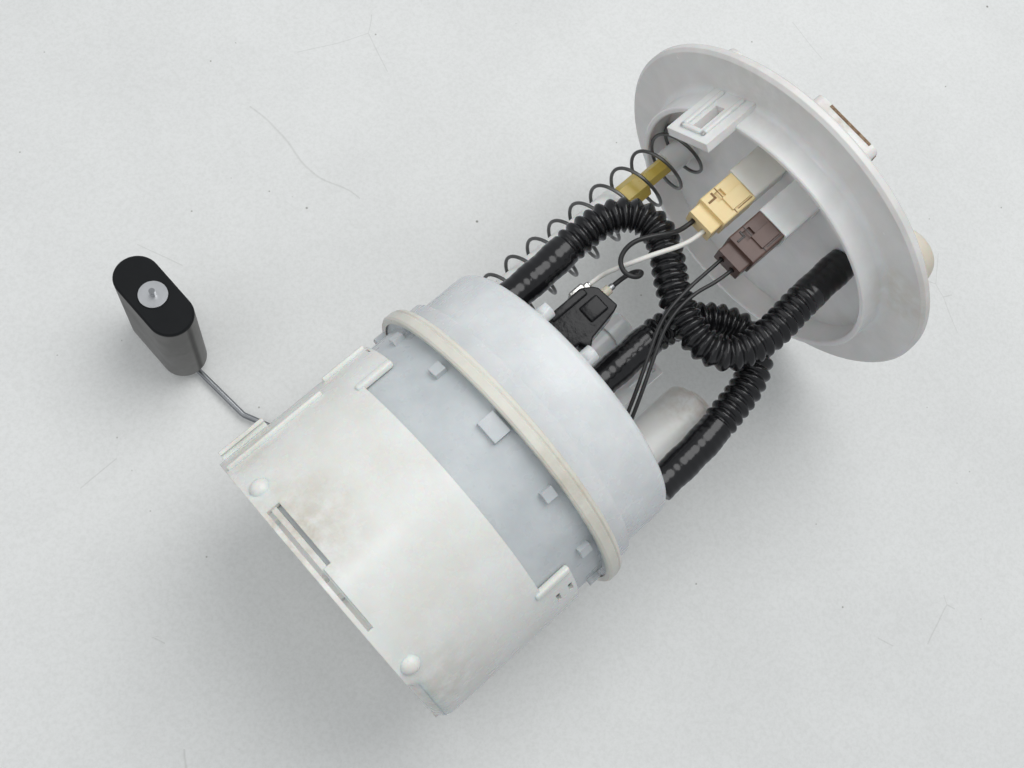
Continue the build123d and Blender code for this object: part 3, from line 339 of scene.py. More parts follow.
def wall_skin(name, azimuths, heights, filled, outer, inner):
    """Curved wall cut out of a grid of azimuths and heights: each filled cell has an outer face at the
    outer radius, an inner face at the inner radius, and a side face towards each empty neighbour."""
    az, high = np.meshgrid(np.radians(azimuths), heights, indexing="ij")
    verts = np.concatenate([
        np.stack([reach * np.cos(az), reach * np.sin(az), high], -1).reshape(-1, 3)
        for reach in (outer(az, high), inner(az, high))
    ])
    index = np.arange(az.size).reshape(az.shape)
    a, b, c, d = index[:-1, :-1], index[1:, :-1], index[1:, 1:], index[:-1, 1:]
    behind_a, behind_b, behind_c, behind_d = (corner + az.size for corner in (a, b, c, d))
    framed = np.pad(filled, 1)
    sheets = (
        (filled, (a, b, c, d)),
        (filled, (behind_a, behind_d, behind_c, behind_b)),
        (filled & ~framed[:-2, 1:-1], (a, d, behind_d, behind_a)),
        (filled & ~framed[2:, 1:-1], (b, behind_b, behind_c, c)),
        (filled & ~framed[1:-1, :-2], (a, behind_a, behind_b, b)),
        (filled & ~framed[1:-1, 2:], (d, c, behind_c, behind_d)),
    )
    faces = np.concatenate([np.stack(corners, -1)[chosen] for chosen, corners in sheets])
    used, faces = np.unique(faces, return_inverse=True)
    mesh = bpy.data.meshes.new(name)
    mesh.from_pydata(verts[used].tolist(), [], faces.reshape(-1, 4).tolist())
    smooth(mesh, 32)
    return mesh


def built(name, build):
    """Mesh out of a finished bmesh, which is freed."""
    mesh = bpy.data.meshes.new(name)
    build.to_mesh(mesh)
    build.free()
    return mesh


def block(name, centre, size, azimuth=0.0, bevel=0.0):
    """Box mesh that is turned about Z and stands at its centre, with its edges cut back a little."""
    build = bmesh.new()
    bmesh.ops.create_cube(build, size=1.0)
    bmesh.ops.scale(build, vec=size, verts=build.verts)
    if bevel:
        bmesh.ops.bevel(build, geom=list(build.edges), offset=bevel, segments=3, affect="EDGES", profile=0.5)
    turn = Matrix.Rotation(math.radians(azimuth), 3, "Z")
    bmesh.ops.rotate(build, cent=(0, 0, 0), matrix=turn, verts=build.verts)
    bmesh.ops.translate(build, vec=centre, verts=build.verts)
    mesh = built(name, build)
    smooth(mesh, 40)
    return mesh


def slab(name, outline, way, bevel=0.0):
    """Mesh of a flat outline pulled straight along a way, with its edges cut back a little."""
    build = bmesh.new()
    face = build.faces.new([build.verts.new(point) for point in outline])
    moved = bmesh.ops.extrude_face_region(build, geom=[face])["geom"]
    bmesh.ops.translate(build, vec=way, verts=[v for v in moved if isinstance(v, bmesh.types.BMVert)])
    bmesh.ops.recalc_face_normals(build, faces=build.faces)
    if bevel:
        bmesh.ops.bevel(build, geom=list(build.edges), offset=bevel, segments=3, affect="EDGES", profile=0.5)
    return built(name, build)


def join(name, meshes):
    """One mesh out of several."""
    build = bmesh.new()
    for mesh in meshes:
        build.from_mesh(mesh)
    joined = built(name, build)
    smooth(joined, 36)
    return joined


def place_mesh(name, mesh, material, body):
    """New piece in the scene, with its finish and body."""
    piece = bpy.data.objects.new(name, mesh)
    bpy.context.scene.collection.objects.link(piece)
    piece.data.materials.append(material)
    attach(piece, body)
    return piece


def polar(reach, azimuth, high):
    """Point at a distance from the pot's axis, at an azimuth in degrees and a height."""
    turn = math.radians(azimuth)
    return reach * math.cos(turn), reach * math.sin(turn), high


shell_radius = 0.0578
shell_thin = 0.0017
shell_back = 0.0440
shell_edge = 0.0505
tower_edge = 0.0628
shell_corner = 0.0065
flat_azimuth = math.degrees(math.asin(shell_back / shell_radius))
tower_starts = (-134.0, -34.0)
# Windows over the lower lip, two slots in the right tower and one in the left: azimuths and heights
windows = np.array([
    (-117, -91, 0.0017, 0.0064), (-91, -68, 0.0017, 0.0036), (-26.3, -21.7, 0.0545, 0.0560),
    (-26.3, -21.7, 0.0598, 0.0613), (-154.3, -149.7, 0.0613, 0.0618),
])
azimuths = np.unique(np.round(np.concatenate([
    np.arange(-180 - flat_azimuth, flat_azimuth, 1.5), [-42, 10, flat_azimuth], tower_starts,
    windows[:, :2].ravel(),
]), 3))
heights = np.unique(np.round(np.concatenate([
    np.linspace(0, shell_corner, 9), np.linspace(shell_corner, shell_edge, 12), [tower_edge],
    windows[:, 2:].ravel(),
]), 5))
mid_az = (azimuths[:-1] + azimuths[1:])[:, None] / 2
mid_high = (heights[:-1] + heights[1:])[None, :] / 2
tower = (mid_az < tower_starts[0]) | (mid_az > tower_starts[1])
wall = (mid_high < shell_edge) | (tower & (mid_high < tower_edge))
for from_az, to_az, low, high in windows:
    wall &= ~((mid_az > from_az) & (mid_az < to_az) & (mid_high > low) & (mid_high < high))


def shell_outside(az, high):
    """Outer radius: full, but pulled in along a quarter circle near the rounded lower corner, which
    begins and ends with a fade over a few degrees."""
    first_az = -44
    last_az = 14
    fade = 4
    fall = np.clip(shell_corner - high, 0, shell_corner)
    rounded = shell_radius - shell_corner + np.sqrt(shell_corner**2 - fall**2)
    turn = np.degrees(az)
    share = np.clip((turn - first_az) / fade, 0, 1) * np.clip((last_az - turn) / fade, 0, 1)
    return shell_radius + (rounded - shell_radius) * share


def shell_inside(az, high):
    """Inner radius: one wall's thickness less."""
    return shell_outside(az, high) - shell_thin


half_back = math.sqrt(shell_radius**2 - shell_back**2)
back_middle = (0, shell_back - shell_thin / 2, tower_edge / 2)
floor_azimuths = np.arange(-180 - flat_azimuth, flat_azimuth + 0.1, 3)
floor_rim = [polar(shell_radius - shell_thin / 2, azimuth, 0.003) for azimuth in floor_azimuths]
shell_parts = [
    wall_skin("shell_wall", azimuths, heights, wall, shell_outside, shell_inside),
    block("back_wall", back_middle, (2 * half_back, shell_thin, tower_edge)),
    slab("shell_floor", floor_rim, (0, 0, 0.002)),
]
for azimuth in tower_starts:
    rib_place = polar(shell_radius - 0.0004, azimuth, 0.0555)
    shell_parts.append(block("tower_rib", rib_place, (0.0026, 0.0030, 0.0146), azimuth, 0.0009))
for azimuth, low, high in ((-147.0, 0.001, 0.040), (-158.0, 0.044, 0.0620)):
    rail_place = polar(shell_radius + 0.0004, azimuth, (low + high) / 2)
    shell_parts.append(block("rail", rail_place, (0.0022, 0.0016, high - low), azimuth, 0.0005))
for azimuth in (-127.0, -50.0):
    knob_build = bmesh.new()
    bmesh.ops.create_uvsphere(knob_build, u_segments=32, v_segments=20, radius=0.0036)
    bmesh.ops.translate(knob_build, vec=polar(0.0566, azimuth, 0.0049), verts=knob_build.verts)
    shell_parts.append(built("knob", knob_build))
guard_reach = 0.0612
guard_thin = 0.0014
guard_azimuths = np.arange(158.0, 197.1, 1.5)
guard_heights = np.array([0.002, 0.0060, 0.0205])
shell_parts.append(wall_skin(
    "guard", guard_azimuths, guard_heights, np.ones((len(guard_azimuths) - 1, 2), bool),
    lambda az, high: guard_reach + 0 * az, lambda az, high: guard_reach - guard_thin + 0 * az,
))
for azimuth in (160.0, 177.5, 195.0):
    web_place = polar(0.0590, azimuth, 0.01125)
    shell_parts.append(block("guard_web", web_place, (0.0036, 0.0016, 0.0185), azimuth))
for azimuth in (30, 90, 150, 210, 270, 330):
    foot_place = polar(0.040 if azimuth == 90 else 0.044, azimuth, 0.0016)
    shell_parts.append(block("foot", foot_place, (0.0090, 0.0020, 0.0032), azimuth, 0.0004))
shell_skin = join("outer_shell_skin", shell_parts)
shell_piece = place_mesh("outer_shell_skin", shell_skin, shell_finish, "reservoir")
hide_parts("outer_shell")

# Pieces on the lid
# White sleeve, filter column and sender holder, stained by fuel, and a clear valve cap and latch, all
# moulded and pushed into the lid or onto the shell.
white_finish = moulded("white_acetal", (0.80, 0.80, 0.77), (0.86, 0.86, 0.84), 0.32, soft=0.2, edge=0.0004)
clear_finish = moulded("clear_nylon", (0.70, 0.73, 0.73), (0.80, 0.82, 0.82), 0.2, soft=0.35, edge=0.0003)
stain(white_finish, (0.0365, 0.0080, 0.1440), 0.020, (0.45, 0.38, 0.28), 0.7)
dress(white_finish, "sleeve_plastic", "guide_sleeve", "filter_column", "sender_holder")
dress(clear_finish, "clear_plastic", "valve_cap", "latch_tower")

# Pump in the pot
# Rolled steel can with black end caps, magnets, wound armature and impeller; a rubber collar holds
# its neck in the lid, and a mesh strainer, jet pump and foot valve lie on the pot's floor.
zinc_finish = moulded("zinc_plate", (0.52, 0.53, 0.54), (0.62, 0.63, 0.64), 0.3, metal=1.0)
black_finish = moulded("black_acetal", (0.012, 0.012, 0.013), (0.022, 0.022, 0.023), 0.3, edge=0.0004)
rubber_finish = moulded("black_rubber", (0.018, 0.018, 0.018), (0.032, 0.031, 0.03), 0.65)
ferrite_finish = moulded("ferrite", (0.05, 0.05, 0.055), (0.08, 0.08, 0.085), 0.6)
winding_finish = moulded("winding", (0.42, 0.16, 0.06), (0.55, 0.25, 0.10), 0.35, metal=1.0, grain=2400.0)
brass_finish = moulded("brass", (0.66, 0.50, 0.24), (0.76, 0.62, 0.34), 0.28, metal=1.0)
mesh_finish = moulded(
    "strainer_mesh", (0.60, 0.58, 0.52), (0.70, 0.68, 0.62), 0.8, grain=3000.0, relief=0.0002,
)
dress(zinc_finish, "zinc_steel", "pump_can", "crimp_terminals")
dress(
    black_finish, "black_plastic",
    "pump_inlet_cap", "pump_outlet_cap", "impeller", "jet_pump", "pump_plug", "arm_hub",
)
dress(rubber_finish, "black_rubber", "pump_collar", "foot_valve")
dress(ferrite_finish, "ferrite", "motor_magnets")
dress(winding_finish, "copper_winding", "armature")
dress(brass_finish, "brass_pins", "check_poppet", "contact_pins", "wiper")
dress(mesh_finish, "strainer_mesh", "inlet_strainer")

# Hoses
# Black nylon hose with a corrugated middle and smooth ends that are pressed hot over barbed
# nipples; one runs in a double bend up to the flange, the other arches from the pump to the lid.
lid_top = 0.1087
flange_low = 0.2148
hose_radius = 0.0065
hose_pitch = 0.0038
hose_cuff = 0.0062
hose_a_route = [
    (-0.0353, -0.0180, 0.1092), (-0.0353, -0.0180, 0.1286), (-0.0367, -0.0180, 0.1482),
    (-0.0354, -0.0182, 0.1610), (-0.0296, -0.0184, 0.1689), (-0.0202, -0.0189, 0.1712),
    (-0.0108, -0.0202, 0.1664), (-0.0016, -0.0216, 0.1592), (0.0094, -0.0224, 0.1536),
    (0.0214, -0.0226, 0.1514), (0.0316, -0.0223, 0.1562), (0.0354, -0.0214, 0.1716),
    (0.0332, -0.0185, 0.1936), (0.0332, -0.0185, 0.2143),
]
hose_b_route = [
    (0.0073, -0.0110, 0.1125), (0.0073, -0.0110, 0.1304), (0.0070, -0.0093, 0.1486),
    (0.0108, -0.0069, 0.1604), (0.0186, -0.0050, 0.1704), (0.0292, -0.0043, 0.1750),
    (0.0384, -0.0043, 0.1706), (0.0432, -0.0048, 0.1606), (0.0451, -0.0058, 0.1490),
    (0.0480, -0.0080, 0.1286), (0.0480, -0.0080, 0.1092),
]


def smooth_line(name, route):
    """Points along the NURBS spline whose control points are the route."""
    curve = bpy.data.curves.new(name + "_line", "CURVE")
    curve.dimensions = "3D"
    curve.resolution_u = 24
    spline = curve.splines.new("NURBS")
    spline.points.add(len(route) - 1)
    spline.points.foreach_set("co", np.c_[np.array(route), np.ones(len(route))].ravel())
    spline.order_u = 3
    spline.use_endpoint_u = True
    holder = bpy.data.objects.new(name + "_line", curve)
    bpy.context.scene.collection.objects.link(holder)
    bpy.context.view_layer.update()
    line = bpy.data.meshes.new_from_object(holder)
    points = np.zeros(len(line.vertices) * 3)
    line.vertices.foreach_get("co", points)
    bpy.data.objects.remove(holder)
    return points.reshape(-1, 3)


def spaced(points, step):
    """The same line with points a step apart, and how far along it each one is."""
    along = np.concatenate([[0.0], np.cumsum(np.linalg.norm(np.diff(points, axis=0), axis=1))])
    count = max(8, int(along[-1] / step))
    wanted = np.linspace(0.0, along[-1], count)
    return np.stack([np.interp(wanted, along, points[:, k]) for k in range(3)], axis=1), wanted


def ring_faces(rings, sides):
    """Four-sided faces of a skin over rings of points that follow one another."""
    ring, side = np.meshgrid(np.arange(rings - 1) * sides, np.arange(sides), indexing="ij")
    after = (side + 1) % sides
    corners = (ring + side, ring + after, ring + sides + after, ring + sides + side)
    return np.stack(corners, -1).reshape(-1, 4).tolist()


def tube_mesh(name, points, radii, reference, sides=28):
    """Round skin about a line: each point carries a circle of its own radius, in the plane square to
    the line, turned so that it starts at right angles to the reference direction."""
    tangents = np.gradient(points, axis=0)
    tangents /= np.linalg.norm(tangents, axis=1)[:, None]
    first = np.cross(tangents, np.array(reference, float))
    first /= np.linalg.norm(first, axis=1)[:, None]
    second = np.cross(tangents, first)
    turn = np.linspace(0.0, 2 * np.pi, sides, endpoint=False)
    ring = first[:, None, :] * np.cos(turn)[:, None] + second[:, None, :] * np.sin(turn)[:, None]
    verts = (points[:, None, :] + ring * np.asarray(radii)[:, None, None]).reshape(-1, 3)
    faces = ring_faces(len(points), sides)
    faces.append(tuple(range(sides - 1, -1, -1)))
    faces.append(tuple(range(len(verts) - sides, len(verts))))
    mesh = bpy.data.meshes.new(name)
    mesh.from_pydata(verts.tolist(), [], faces)
    mesh.polygons.foreach_set("use_smooth", [True] * len(mesh.polygons))
    return mesh


def hose_radii(along, start_cuff, end_cuff, radius, pitch, cuff):
    """Radius along a hose. In the middle it is the full radius less a rib's depth in the valleys of a
    raised cosine wave to the power 0.6; on the cuffs at both ends it is a smooth radius with two
    slight sine waves; between them it goes over in a straight step."""
    rib_depth = 0.0017
    step = 0.0015
    total = along[-1]
    wave = (0.5 + 0.5 * np.cos(2 * np.pi * along / pitch)) ** 0.6
    ribbed = radius - rib_depth * (1.0 - wave)
    lump = cuff + 0.00014 * np.sin(2 * np.pi * along / 0.0118)
    lump += 0.00005 * np.sin(2 * np.pi * along / 0.0031)
    into = np.clip((along - start_cuff) / step, 0, 1) * np.clip((total - end_cuff - along) / step, 0, 1)
    return lump + (ribbed - lump) * into


hose_finish = moulded(
    "hose_nylon", (0.007, 0.007, 0.008), (0.014, 0.014, 0.015), 0.17, grain=1500.0, relief=0.00003,
)
for hose_name, route, cuffs, moves in (
    ("hose_a", hose_a_route, (0.031, 0.021), True),
    ("hose_b", hose_b_route, (0.031, 0.031), False),
):
    line, along = spaced(smooth_line(hose_name, route), hose_pitch / 9)
    radii = hose_radii(along, *cuffs, hose_radius, hose_pitch, hose_cuff)
    hose_mesh = tube_mesh(hose_name, line, radii, (0, 1, 0))
    hose = place_mesh(hose_name + "_skin", hose_mesh, hose_finish, "reservoir")
    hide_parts(hose_name)
    if moves:
        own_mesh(hose)

# Wires
# Stranded copper in thin insulation: a white and a black one from the cream connector to the
# pump's terminals, and two thin black ones from the brown connector to the level sender.
wire_routes = {
    "white_wire": (0.0009, (1, 0.2, 0), [
        (-0.0072, -0.0304, 0.1805), (-0.0072, -0.0304, 0.1737), (-0.0088, -0.0316, 0.1664),
        (-0.0118, -0.0326, 0.1586), (-0.0148, -0.0312, 0.1512), (-0.0178, -0.0274, 0.1454),
        (-0.0204, -0.0210, 0.1416), (-0.0204, -0.0210, 0.1371),
    ]),
    "black_wire": (0.0009, (0.15, 1, 0.3), [
        (-0.0124, -0.0304, 0.1805), (-0.0124, -0.0304, 0.1737), (-0.0136, -0.0334, 0.1674),
        (-0.0172, -0.0352, 0.1606), (-0.0202, -0.0350, 0.1536), (-0.0188, -0.0334, 0.1470),
        (-0.0136, -0.0322, 0.1450), (-0.0096, -0.0312, 0.1482), (-0.0106, -0.0280, 0.1522),
        (-0.0134, -0.0236, 0.1514), (-0.0146, -0.0210, 0.1470), (-0.0146, -0.0210, 0.1431),
    ]),
}
for side, wire_name in ((-1, "sender_wire_left"), (1, "sender_wire_right")):
    wire_routes[wire_name] = (0.0007, (1, 0.1, 0.05), [
        (0.0070 + side * 0.0026, -0.0304, 0.1783), (0.0070 + side * 0.0026, -0.0304, 0.1703),
        (0.0058 + side * 0.0012, -0.0324, 0.1576), (0.0074 + side * 0.0011, -0.0318, 0.1444),
        (0.0140 + side * 0.0011, -0.0299, 0.1322), (0.0206 + side * 0.0011, -0.0274, 0.1204),
        (0.0254 + side * 0.0011, -0.0210, 0.1116), (0.0264 + side * 0.0011, -0.0090, 0.1108),
        (0.0218 + side * 0.0011, 0.0040, 0.1108), (0.0212 + side * 0.0011, 0.0200, 0.1108),
        (0.0194 + side * 0.0011, 0.0350, 0.1108), (0.0184 + side * 0.0011, 0.0490, 0.1118),
        (0.0180 + side * 0.0011, 0.0598, 0.1046), (0.0182 + side * 0.0011, 0.0634, 0.0920),
        (0.0174 + side * 0.0011, 0.0636, 0.0786), (0.0146 + side * 0.0014, 0.0584, 0.0696),
        (0.0094 + side * 0.0026, 0.0514, 0.0674), (0.0070 + side * 0.0030, 0.0492, 0.0626),
    ])
white_wire_finish = moulded("white_insulation", (0.74, 0.72, 0.66), (0.82, 0.81, 0.77), 0.4, soft=0.1)
black_wire_finish = moulded("black_insulation", (0.012, 0.012, 0.012), (0.025, 0.025, 0.025), 0.35)
for wire_name, (radius, reference, route) in wire_routes.items():
    line, along = spaced(smooth_line(wire_name, route), radius * 0.8)
    light = wire_name == "white_wire"
    finish = white_wire_finish if light else black_wire_finish
    mesh = tube_mesh(wire_name, line, np.full(len(line), radius), reference, sides=12)
    wire = place_mesh(wire_name + "_skin", mesh, finish, "reservoir")
    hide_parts(wire_name)
    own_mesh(wire)

# Guide rod and spring
# The tank flange slides on a yellow hexagonal rod in the white sleeve, and a wire coil round them
# presses pot and flange apart.
rod_finish = moulded("yellow_acetal", (0.56, 0.41, 0.06), (0.66, 0.50, 0.11), 0.28, soft=0.15, edge=0.0003)
dress(rod_finish, "yellow_plastic", "guide_rod")
guide_axis = (-0.0415, 0.0065)
coil_radius = 0.0107
coil_wire = 0.0007
coil_turns = 10.5
coil_start = 0.24
coil_low = lid_top + 0.0010
coil_high = flange_low - 0.0010


def coil_line(turns, low, high, radius, points_per_turn=40):
    """Helix about the guide axis: closed turns at both ends, where the rise eases off."""
    share = np.linspace(0.0, 1.0, int(turns * points_per_turn))
    angle = 2 * np.pi * (turns * share + coil_start)
    eased = np.interp(share, [0, 0.07, 0.93, 1], [0, 0.022, 0.978, 1])
    height = low + (high - low) * eased
    across = guide_axis[0] + radius * np.cos(angle)
    back = guide_axis[1] + radius * np.sin(angle)
    return np.stack([across, back, height], 1)


spring_finish = moulded(
    "spring_steel", (0.13, 0.13, 0.125), (0.20, 0.20, 0.195), 0.3, metal=1.0, grain=1800.0,
)
coil = coil_line(coil_turns, coil_low, coil_high, coil_radius)
coil_mesh = tube_mesh("coil", coil, np.full(len(coil), coil_wire), (0, 0, 1), sides=12)
spring = place_mesh("coil_spring", coil_mesh, spring_finish, "reservoir")
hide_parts("guide_spring")
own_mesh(spring)

# Tank flange and its connectors
# White nylon disc with its collar, socket and outlet in one moulding, its rim a little darker; cream
# and brown connectors hang from posts on its underside.


def darken_beyond(material, start, end, colour):
    """Multiplies a finish by a colour outside a radius about the pot's axis: not at all at the start
    radius, and in full from the end radius outwards."""
    tree, links = material.node_tree.nodes, material.node_tree.links
    level = tree.new("ShaderNodeVectorMath")
    level.operation = "MULTIPLY"
    level.inputs[1].default_value = (1.0, 1.0, 0.0)
    links.new(tree.new("ShaderNodeTexCoord").outputs["Object"], level.inputs[0])
    reach = tree.new("ShaderNodeVectorMath")
    reach.operation = "LENGTH"
    links.new(level.outputs["Vector"], reach.inputs[0])
    share = tree.new("ShaderNodeMapRange")
    share.inputs["From Min"].default_value = start
    share.inputs["From Max"].default_value = end
    links.new(reach.outputs["Value"], share.inputs["Value"])
    colour_over(material, share.outputs["Result"], colour, "MULTIPLY")


flange_finish = moulded(
    "flange_nylon", (0.78, 0.785, 0.77), (0.86, 0.865, 0.855), 0.24, soft=0.25, edge=0.0005,
)
stain(flange_finish, (0.0, -0.0495, 0.2330), 0.019, (0.34, 0.22, 0.13), 0.75)
stain(flange_finish, (0.0560, -0.0300, 0.2240), 0.022, (0.52, 0.44, 0.30), 0.5)
stain(flange_finish, (-0.0300, -0.0600, 0.2190), 0.030, (0.62, 0.61, 0.58), 0.5)
post_finish = moulded("post_nylon", (0.74, 0.72, 0.66), (0.80, 0.79, 0.74), 0.34, soft=0.2, edge=0.0004)
cream_finish = moulded("cream_nylon", (0.83, 0.64, 0.31), (0.90, 0.73, 0.40), 0.34, soft=0.1, edge=0.0003)
brown_finish = moulded("brown_nylon", (0.085, 0.045, 0.035), (0.13, 0.075, 0.06), 0.34, edge=0.0003)
darken_beyond(flange_finish, 0.0565, 0.0595, (0.92, 0.91, 0.895))
dress(flange_finish, "flange_plastic", "tank_flange", "outlet_pipe")
dress(cream_finish, "cream_plastic", "cream_connector")
dress(post_finish, "cream_plastic", "cream_post")
dress(brown_finish, "brown_plastic", "brown_connector")

# Plug, crimps and pegs
# Black plug that stands on the pump's neck with a fin towards the hose; one bright crimp box and one
# sleeved terminal at its top. The lid is the CAD node's own, with its two pegs beside the plug made
# shorter.
plug_finish = moulded(
    "plug_nylon", (0.008, 0.008, 0.009), (0.016, 0.016, 0.017), 0.2, grain=500.0, relief=0.0003, edge=0.0005,
)
shader(plug_finish).inputs["Specular IOR Level"].default_value = 0.25
sleeve_finish = moulded("terminal_sleeve", (0.62, 0.58, 0.46), (0.74, 0.70, 0.58), 0.25, soft=0.3)
crimp_finish = moulded(
    "crimp_tin", (0.50, 0.49, 0.46), (0.70, 0.69, 0.66), 0.18, metal=1.0, grain=700.0, relief=0.0003,
)
plug_front = -0.0276
plug_depth = 0.0132
plug_outline = [
    (-0.0178, 0.1120), (-0.0196, 0.1150), (-0.0206, 0.1276), (-0.0206, 0.1316), (-0.0184, 0.1352),
    (-0.0166, 0.1366), (-0.0076, 0.1374), (-0.0066, 0.1350), (-0.0046, 0.1228), (-0.0020, 0.1196),
    (-0.0060, 0.1180), (-0.0066, 0.1120),
]
plug_points = [(x, plug_front, z) for x, z in plug_outline]
plug_parts = [
    slab("plug_body", plug_points, (0, plug_depth, 0), 0.0006),
    block("plug_rib", (-0.0188, -0.0272, 0.1240), (0.0030, 0.0024, 0.0160), bevel=0.0006),
    block("plug_latch", (-0.0120, -0.0274, 0.1300), (0.0064, 0.0020, 0.0080), bevel=0.0006),
]
plug = place_mesh("plug_skin", join("plug_skin", plug_parts), plug_finish, "reservoir")
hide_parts("pump_plug")
crimp_parts = [
    block("crimp_box", (-0.0204, -0.0222, 0.1312), (0.0040, 0.0040, 0.0062), bevel=0.0007),
    block("crimp_neck", (-0.0204, -0.0212, 0.1352), (0.0026, 0.0026, 0.0030), bevel=0.0006),
]
place_mesh("crimp_box", join("crimp_box", crimp_parts), crimp_finish, "reservoir")
sleeve_line = np.array([(-0.0146, -0.0210, z) for z in np.linspace(0.1362, 0.1412, 9)])
sleeve_radii = np.full(len(sleeve_line), 0.0019)
sleeve_mesh = tube_mesh("terminal_sleeve", sleeve_line, sleeve_radii, (0, 1, 0), sides=24)
place_mesh("terminal_sleeve", sleeve_mesh, sleeve_finish, "reservoir")
peg_build = bmesh.new()
peg_build.from_mesh(nodes["lid"].data)
bmesh.ops.remove_doubles(peg_build, verts=peg_build.verts, dist=0.000002)
peg_mesh = built("lid_skin", peg_build)
peg_verts = np.zeros(len(peg_mesh.vertices) * 3)
peg_mesh.vertices.foreach_get("co", peg_verts)
peg_verts = peg_verts.reshape(-1, 3)
peg_reach = 0.0032
peg_share = 0.45
for peg_x, peg_y in ((-0.0190, -0.0452), (0.0016, -0.0490)):
    from_peg = np.hypot(peg_verts[:, 0] - peg_x, peg_verts[:, 1] - peg_y)
    of_peg = (from_peg < peg_reach) & (peg_verts[:, 2] > lid_top)
    peg_verts[of_peg, 2] = lid_top + (peg_verts[of_peg, 2] - lid_top) * peg_share
peg_mesh.vertices.foreach_set("co", peg_verts.ravel())
smooth(peg_mesh, 30)
lid_skin = place_mesh("lid_skin", peg_mesh, lid_finish, "reservoir")
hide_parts("lid")

# Tank flange's own forms
# Rounded cover over the outlet's bend at the flange's edge and the raised U on the slotted tab, both
# of the flange's moulding, and a thin line of rust that lies on the socket's front and side.


def cap_mesh(name, middle, halves, low, height, rings=20, sides=72):
    """Rounded cap that narrows to a point at its top: rings of points stand one above the other, and
    each is an ellipse whose two half widths are multiplied by the fourth root of one less the fourth
    power of the ring's share of the height."""
    shares = np.linspace(0, 1, rings)
    turns = np.linspace(0, 2 * np.pi, sides, endpoint=False)
    share, turn = np.meshgrid(shares, turns, indexing="ij")
    shrink = np.clip(1 - share**4, 0, 1) ** 0.25
    verts = np.stack([
        middle[0] + halves[0] * shrink * np.cos(turn), middle[1] + halves[1] * shrink * np.sin(turn),
        low + height * share,
    ], -1).reshape(-1, 3)
    faces = ring_faces(rings, sides)
    faces.append(tuple(range(sides - 1, -1, -1)))
    mesh = bpy.data.meshes.new(name)
    mesh.from_pydata(verts.tolist(), [], faces)
    mesh.polygons.foreach_set("use_smooth", [True] * len(mesh.polygons))
    return mesh


cover_finish = moulded("cover_nylon", (0.66, 0.61, 0.49), (0.74, 0.70, 0.60), 0.3, soft=0.35, edge=0.0004)
rust_finish = moulded("rust_line", (0.14, 0.075, 0.035), (0.34, 0.24, 0.15), 0.7, patch=500.0)
cover = cap_mesh("outlet_cover", (0.0455, -0.0330), (0.0122, 0.0140), 0.2174, 0.0132)
place_mesh("outlet_cover", cover, cover_finish, "flange")
rust_parts = [
    block("rust_front", (0.0010, -0.05555, 0.2322), (0.0190, 0.0003, 0.0011), bevel=0.0001),
    block("rust_side", (0.01435, -0.0500, 0.2320), (0.0003, 0.0060, 0.0011), bevel=0.0001),
]
place_mesh("socket_rust", join("socket_rust", rust_parts), rust_finish, "flange")
tab_azimuth = -127.0
tab_reach = 0.0575
tab_low = 0.1935
tab_parts = []
for aside, high, wide in ((-0.0050, 0.2140, 0.0020), (0.0050, 0.2140, 0.0020), (0.0, 0.1955, 0.0120)):
    rib_x, rib_y, rib_z = polar(tab_reach, tab_azimuth, (tab_low + high) / 2)
    along_x, along_y, _ = polar(aside, tab_azimuth + 90, 0)
    rib_place = (rib_x + along_x, rib_y + along_y, rib_z)
    tab_parts.append(block("tab_rib", rib_place, (0.0016, wide, high - tab_low), tab_azimuth, 0.0006))
place_mesh("tab_rib", join("tab_rib", tab_parts), flange_finish, "flange")

# Painted shade on the connectors
# Thin dark strips on the front of each connector, laid on the nylon: painted shade in two short
# slots, a dark seam across it and painted shade along one edge.
# Painted shade: dark brown strips on the cream connector and black ones on the brown connector.
shade_and_seam_finish = moulded("mark_shade", (0.20, 0.11, 0.04), (0.30, 0.17, 0.07), 0.6)
black_shade_and_seam_finish = moulded("black_shade_and_seam", (0.012, 0.008, 0.008), (0.02, 0.013, 0.012), 0.3)
mark_front = -0.0359
for mark_name, mark_x, mark_top, finish, mark_slot in (
    ("cream_shade_and_seam", -0.0098, 0.1984, shade_and_seam_finish, "cream_plastic"),
    ("brown_shade_and_seam", 0.0070, 0.1962, black_shade_and_seam_finish, "brown_plastic"),
):
    mark_parts = []
    for part_name, aside, below, size, bevel in (
        ("slot_long", -0.0030, 0.0124, (0.0008, 0.0003, 0.0036), 0.0001),
        ("slot_short", -0.0042, 0.0110, (0.0022, 0.0003, 0.0008), 0.0001),
        ("seam", 0.0, 0.0088, (0.0118, 0.0002, 0.0003), 0.0),
        ("edge", 0.0050, 0.0040, (0.0003, 0.0002, 0.0070), 0.0),
    ):
        mark_place = (mark_x + aside, mark_front, mark_top - below)
        mark_parts.append(block(part_name, mark_place, size, bevel=bevel))
    place_mesh(mark_name, join(mark_name, mark_parts), finish, "flange")

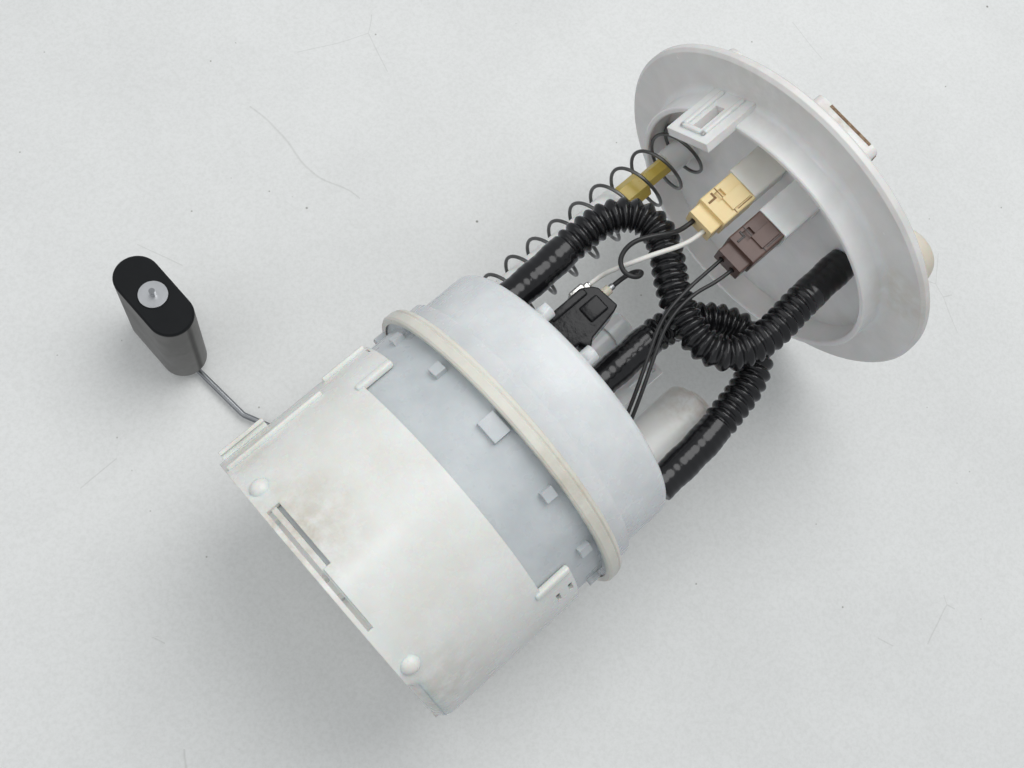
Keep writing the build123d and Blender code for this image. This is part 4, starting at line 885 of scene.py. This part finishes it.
# Level sender and float
# Dark foam float on a bent steel wire, held by a push-on washer, and the resistor card that its
# wiper sweeps on the back of the pot.
card_finish = moulded("card_ceramic", (0.70, 0.68, 0.62), (0.78, 0.77, 0.72), 0.5)
wire_finish = moulded("arm_steel", (0.24, 0.25, 0.26), (0.33, 0.34, 0.35), 0.3, metal=1.0)
float_finish = moulded(
    "float_foam", (0.20, 0.197, 0.188), (0.26, 0.256, 0.244), 0.6, grain=1400.0, relief=0.00006,
)
float_foot = Vector((-0.1235, 0.0506, 0.0159))
float_lean = Vector((-2.5, -44.6, 5.1)).normalized()
float_side = (Vector((1, 0, 0)) - float_lean * float_lean.x).normalized()
float_across = float_lean.cross(float_side)


def tint(material, direction, foot, stops, colour):
    """Mixes a colour into a finish by how far a point lies from the foot along a direction: the stops
    give distances in metres and the share of the colour there."""
    tree, links = material.node_tree.nodes, material.node_tree.links
    reach = tree.new("ShaderNodeVectorMath")
    reach.operation = "DOT_PRODUCT"
    links.new(tree.new("ShaderNodeTexCoord").outputs["Object"], reach.inputs[0])
    reach.inputs[1].default_value = direction
    first, last = stops[0][0], stops[-1][0]
    share = tree.new("ShaderNodeMapRange")
    share.inputs["From Min"].default_value = foot.dot(direction) + first
    share.inputs["From Max"].default_value = foot.dot(direction) + last
    links.new(reach.outputs["Value"], share.inputs["Value"])
    greys = [((where - first) / (last - first), (amount,) * 3) for where, amount in stops]
    colour_over(material, ramp(tree, links, share.outputs["Result"], greys), colour)


seam_stops = [(0.0002, 0.0), (0.0013, 0.75), (0.0022, 0.75), (0.0034, 0.0)]
# Painted shade: the float's top face is made almost black while its sides keep the lighter grey, standing in
# for how the light falls on the foam.
top_shade_stops = [(0.0428, 0.0), (0.0434, 1.0)]
tint(float_finish, float_across, float_foot, seam_stops, (0.07, 0.068, 0.064))
tint(float_finish, float_lean, float_foot, top_shade_stops, (0.011, 0.012, 0.013))
shader(float_finish).inputs["Specular IOR Level"].default_value = 0.15
dress(card_finish, "card_ceramic", "resistor_card")
dress(wire_finish, "wire_steel", "float_arm_wire")
dress(float_finish, "float_foam", "float")
dress(zinc_finish, "zinc_steel", "float_washer")
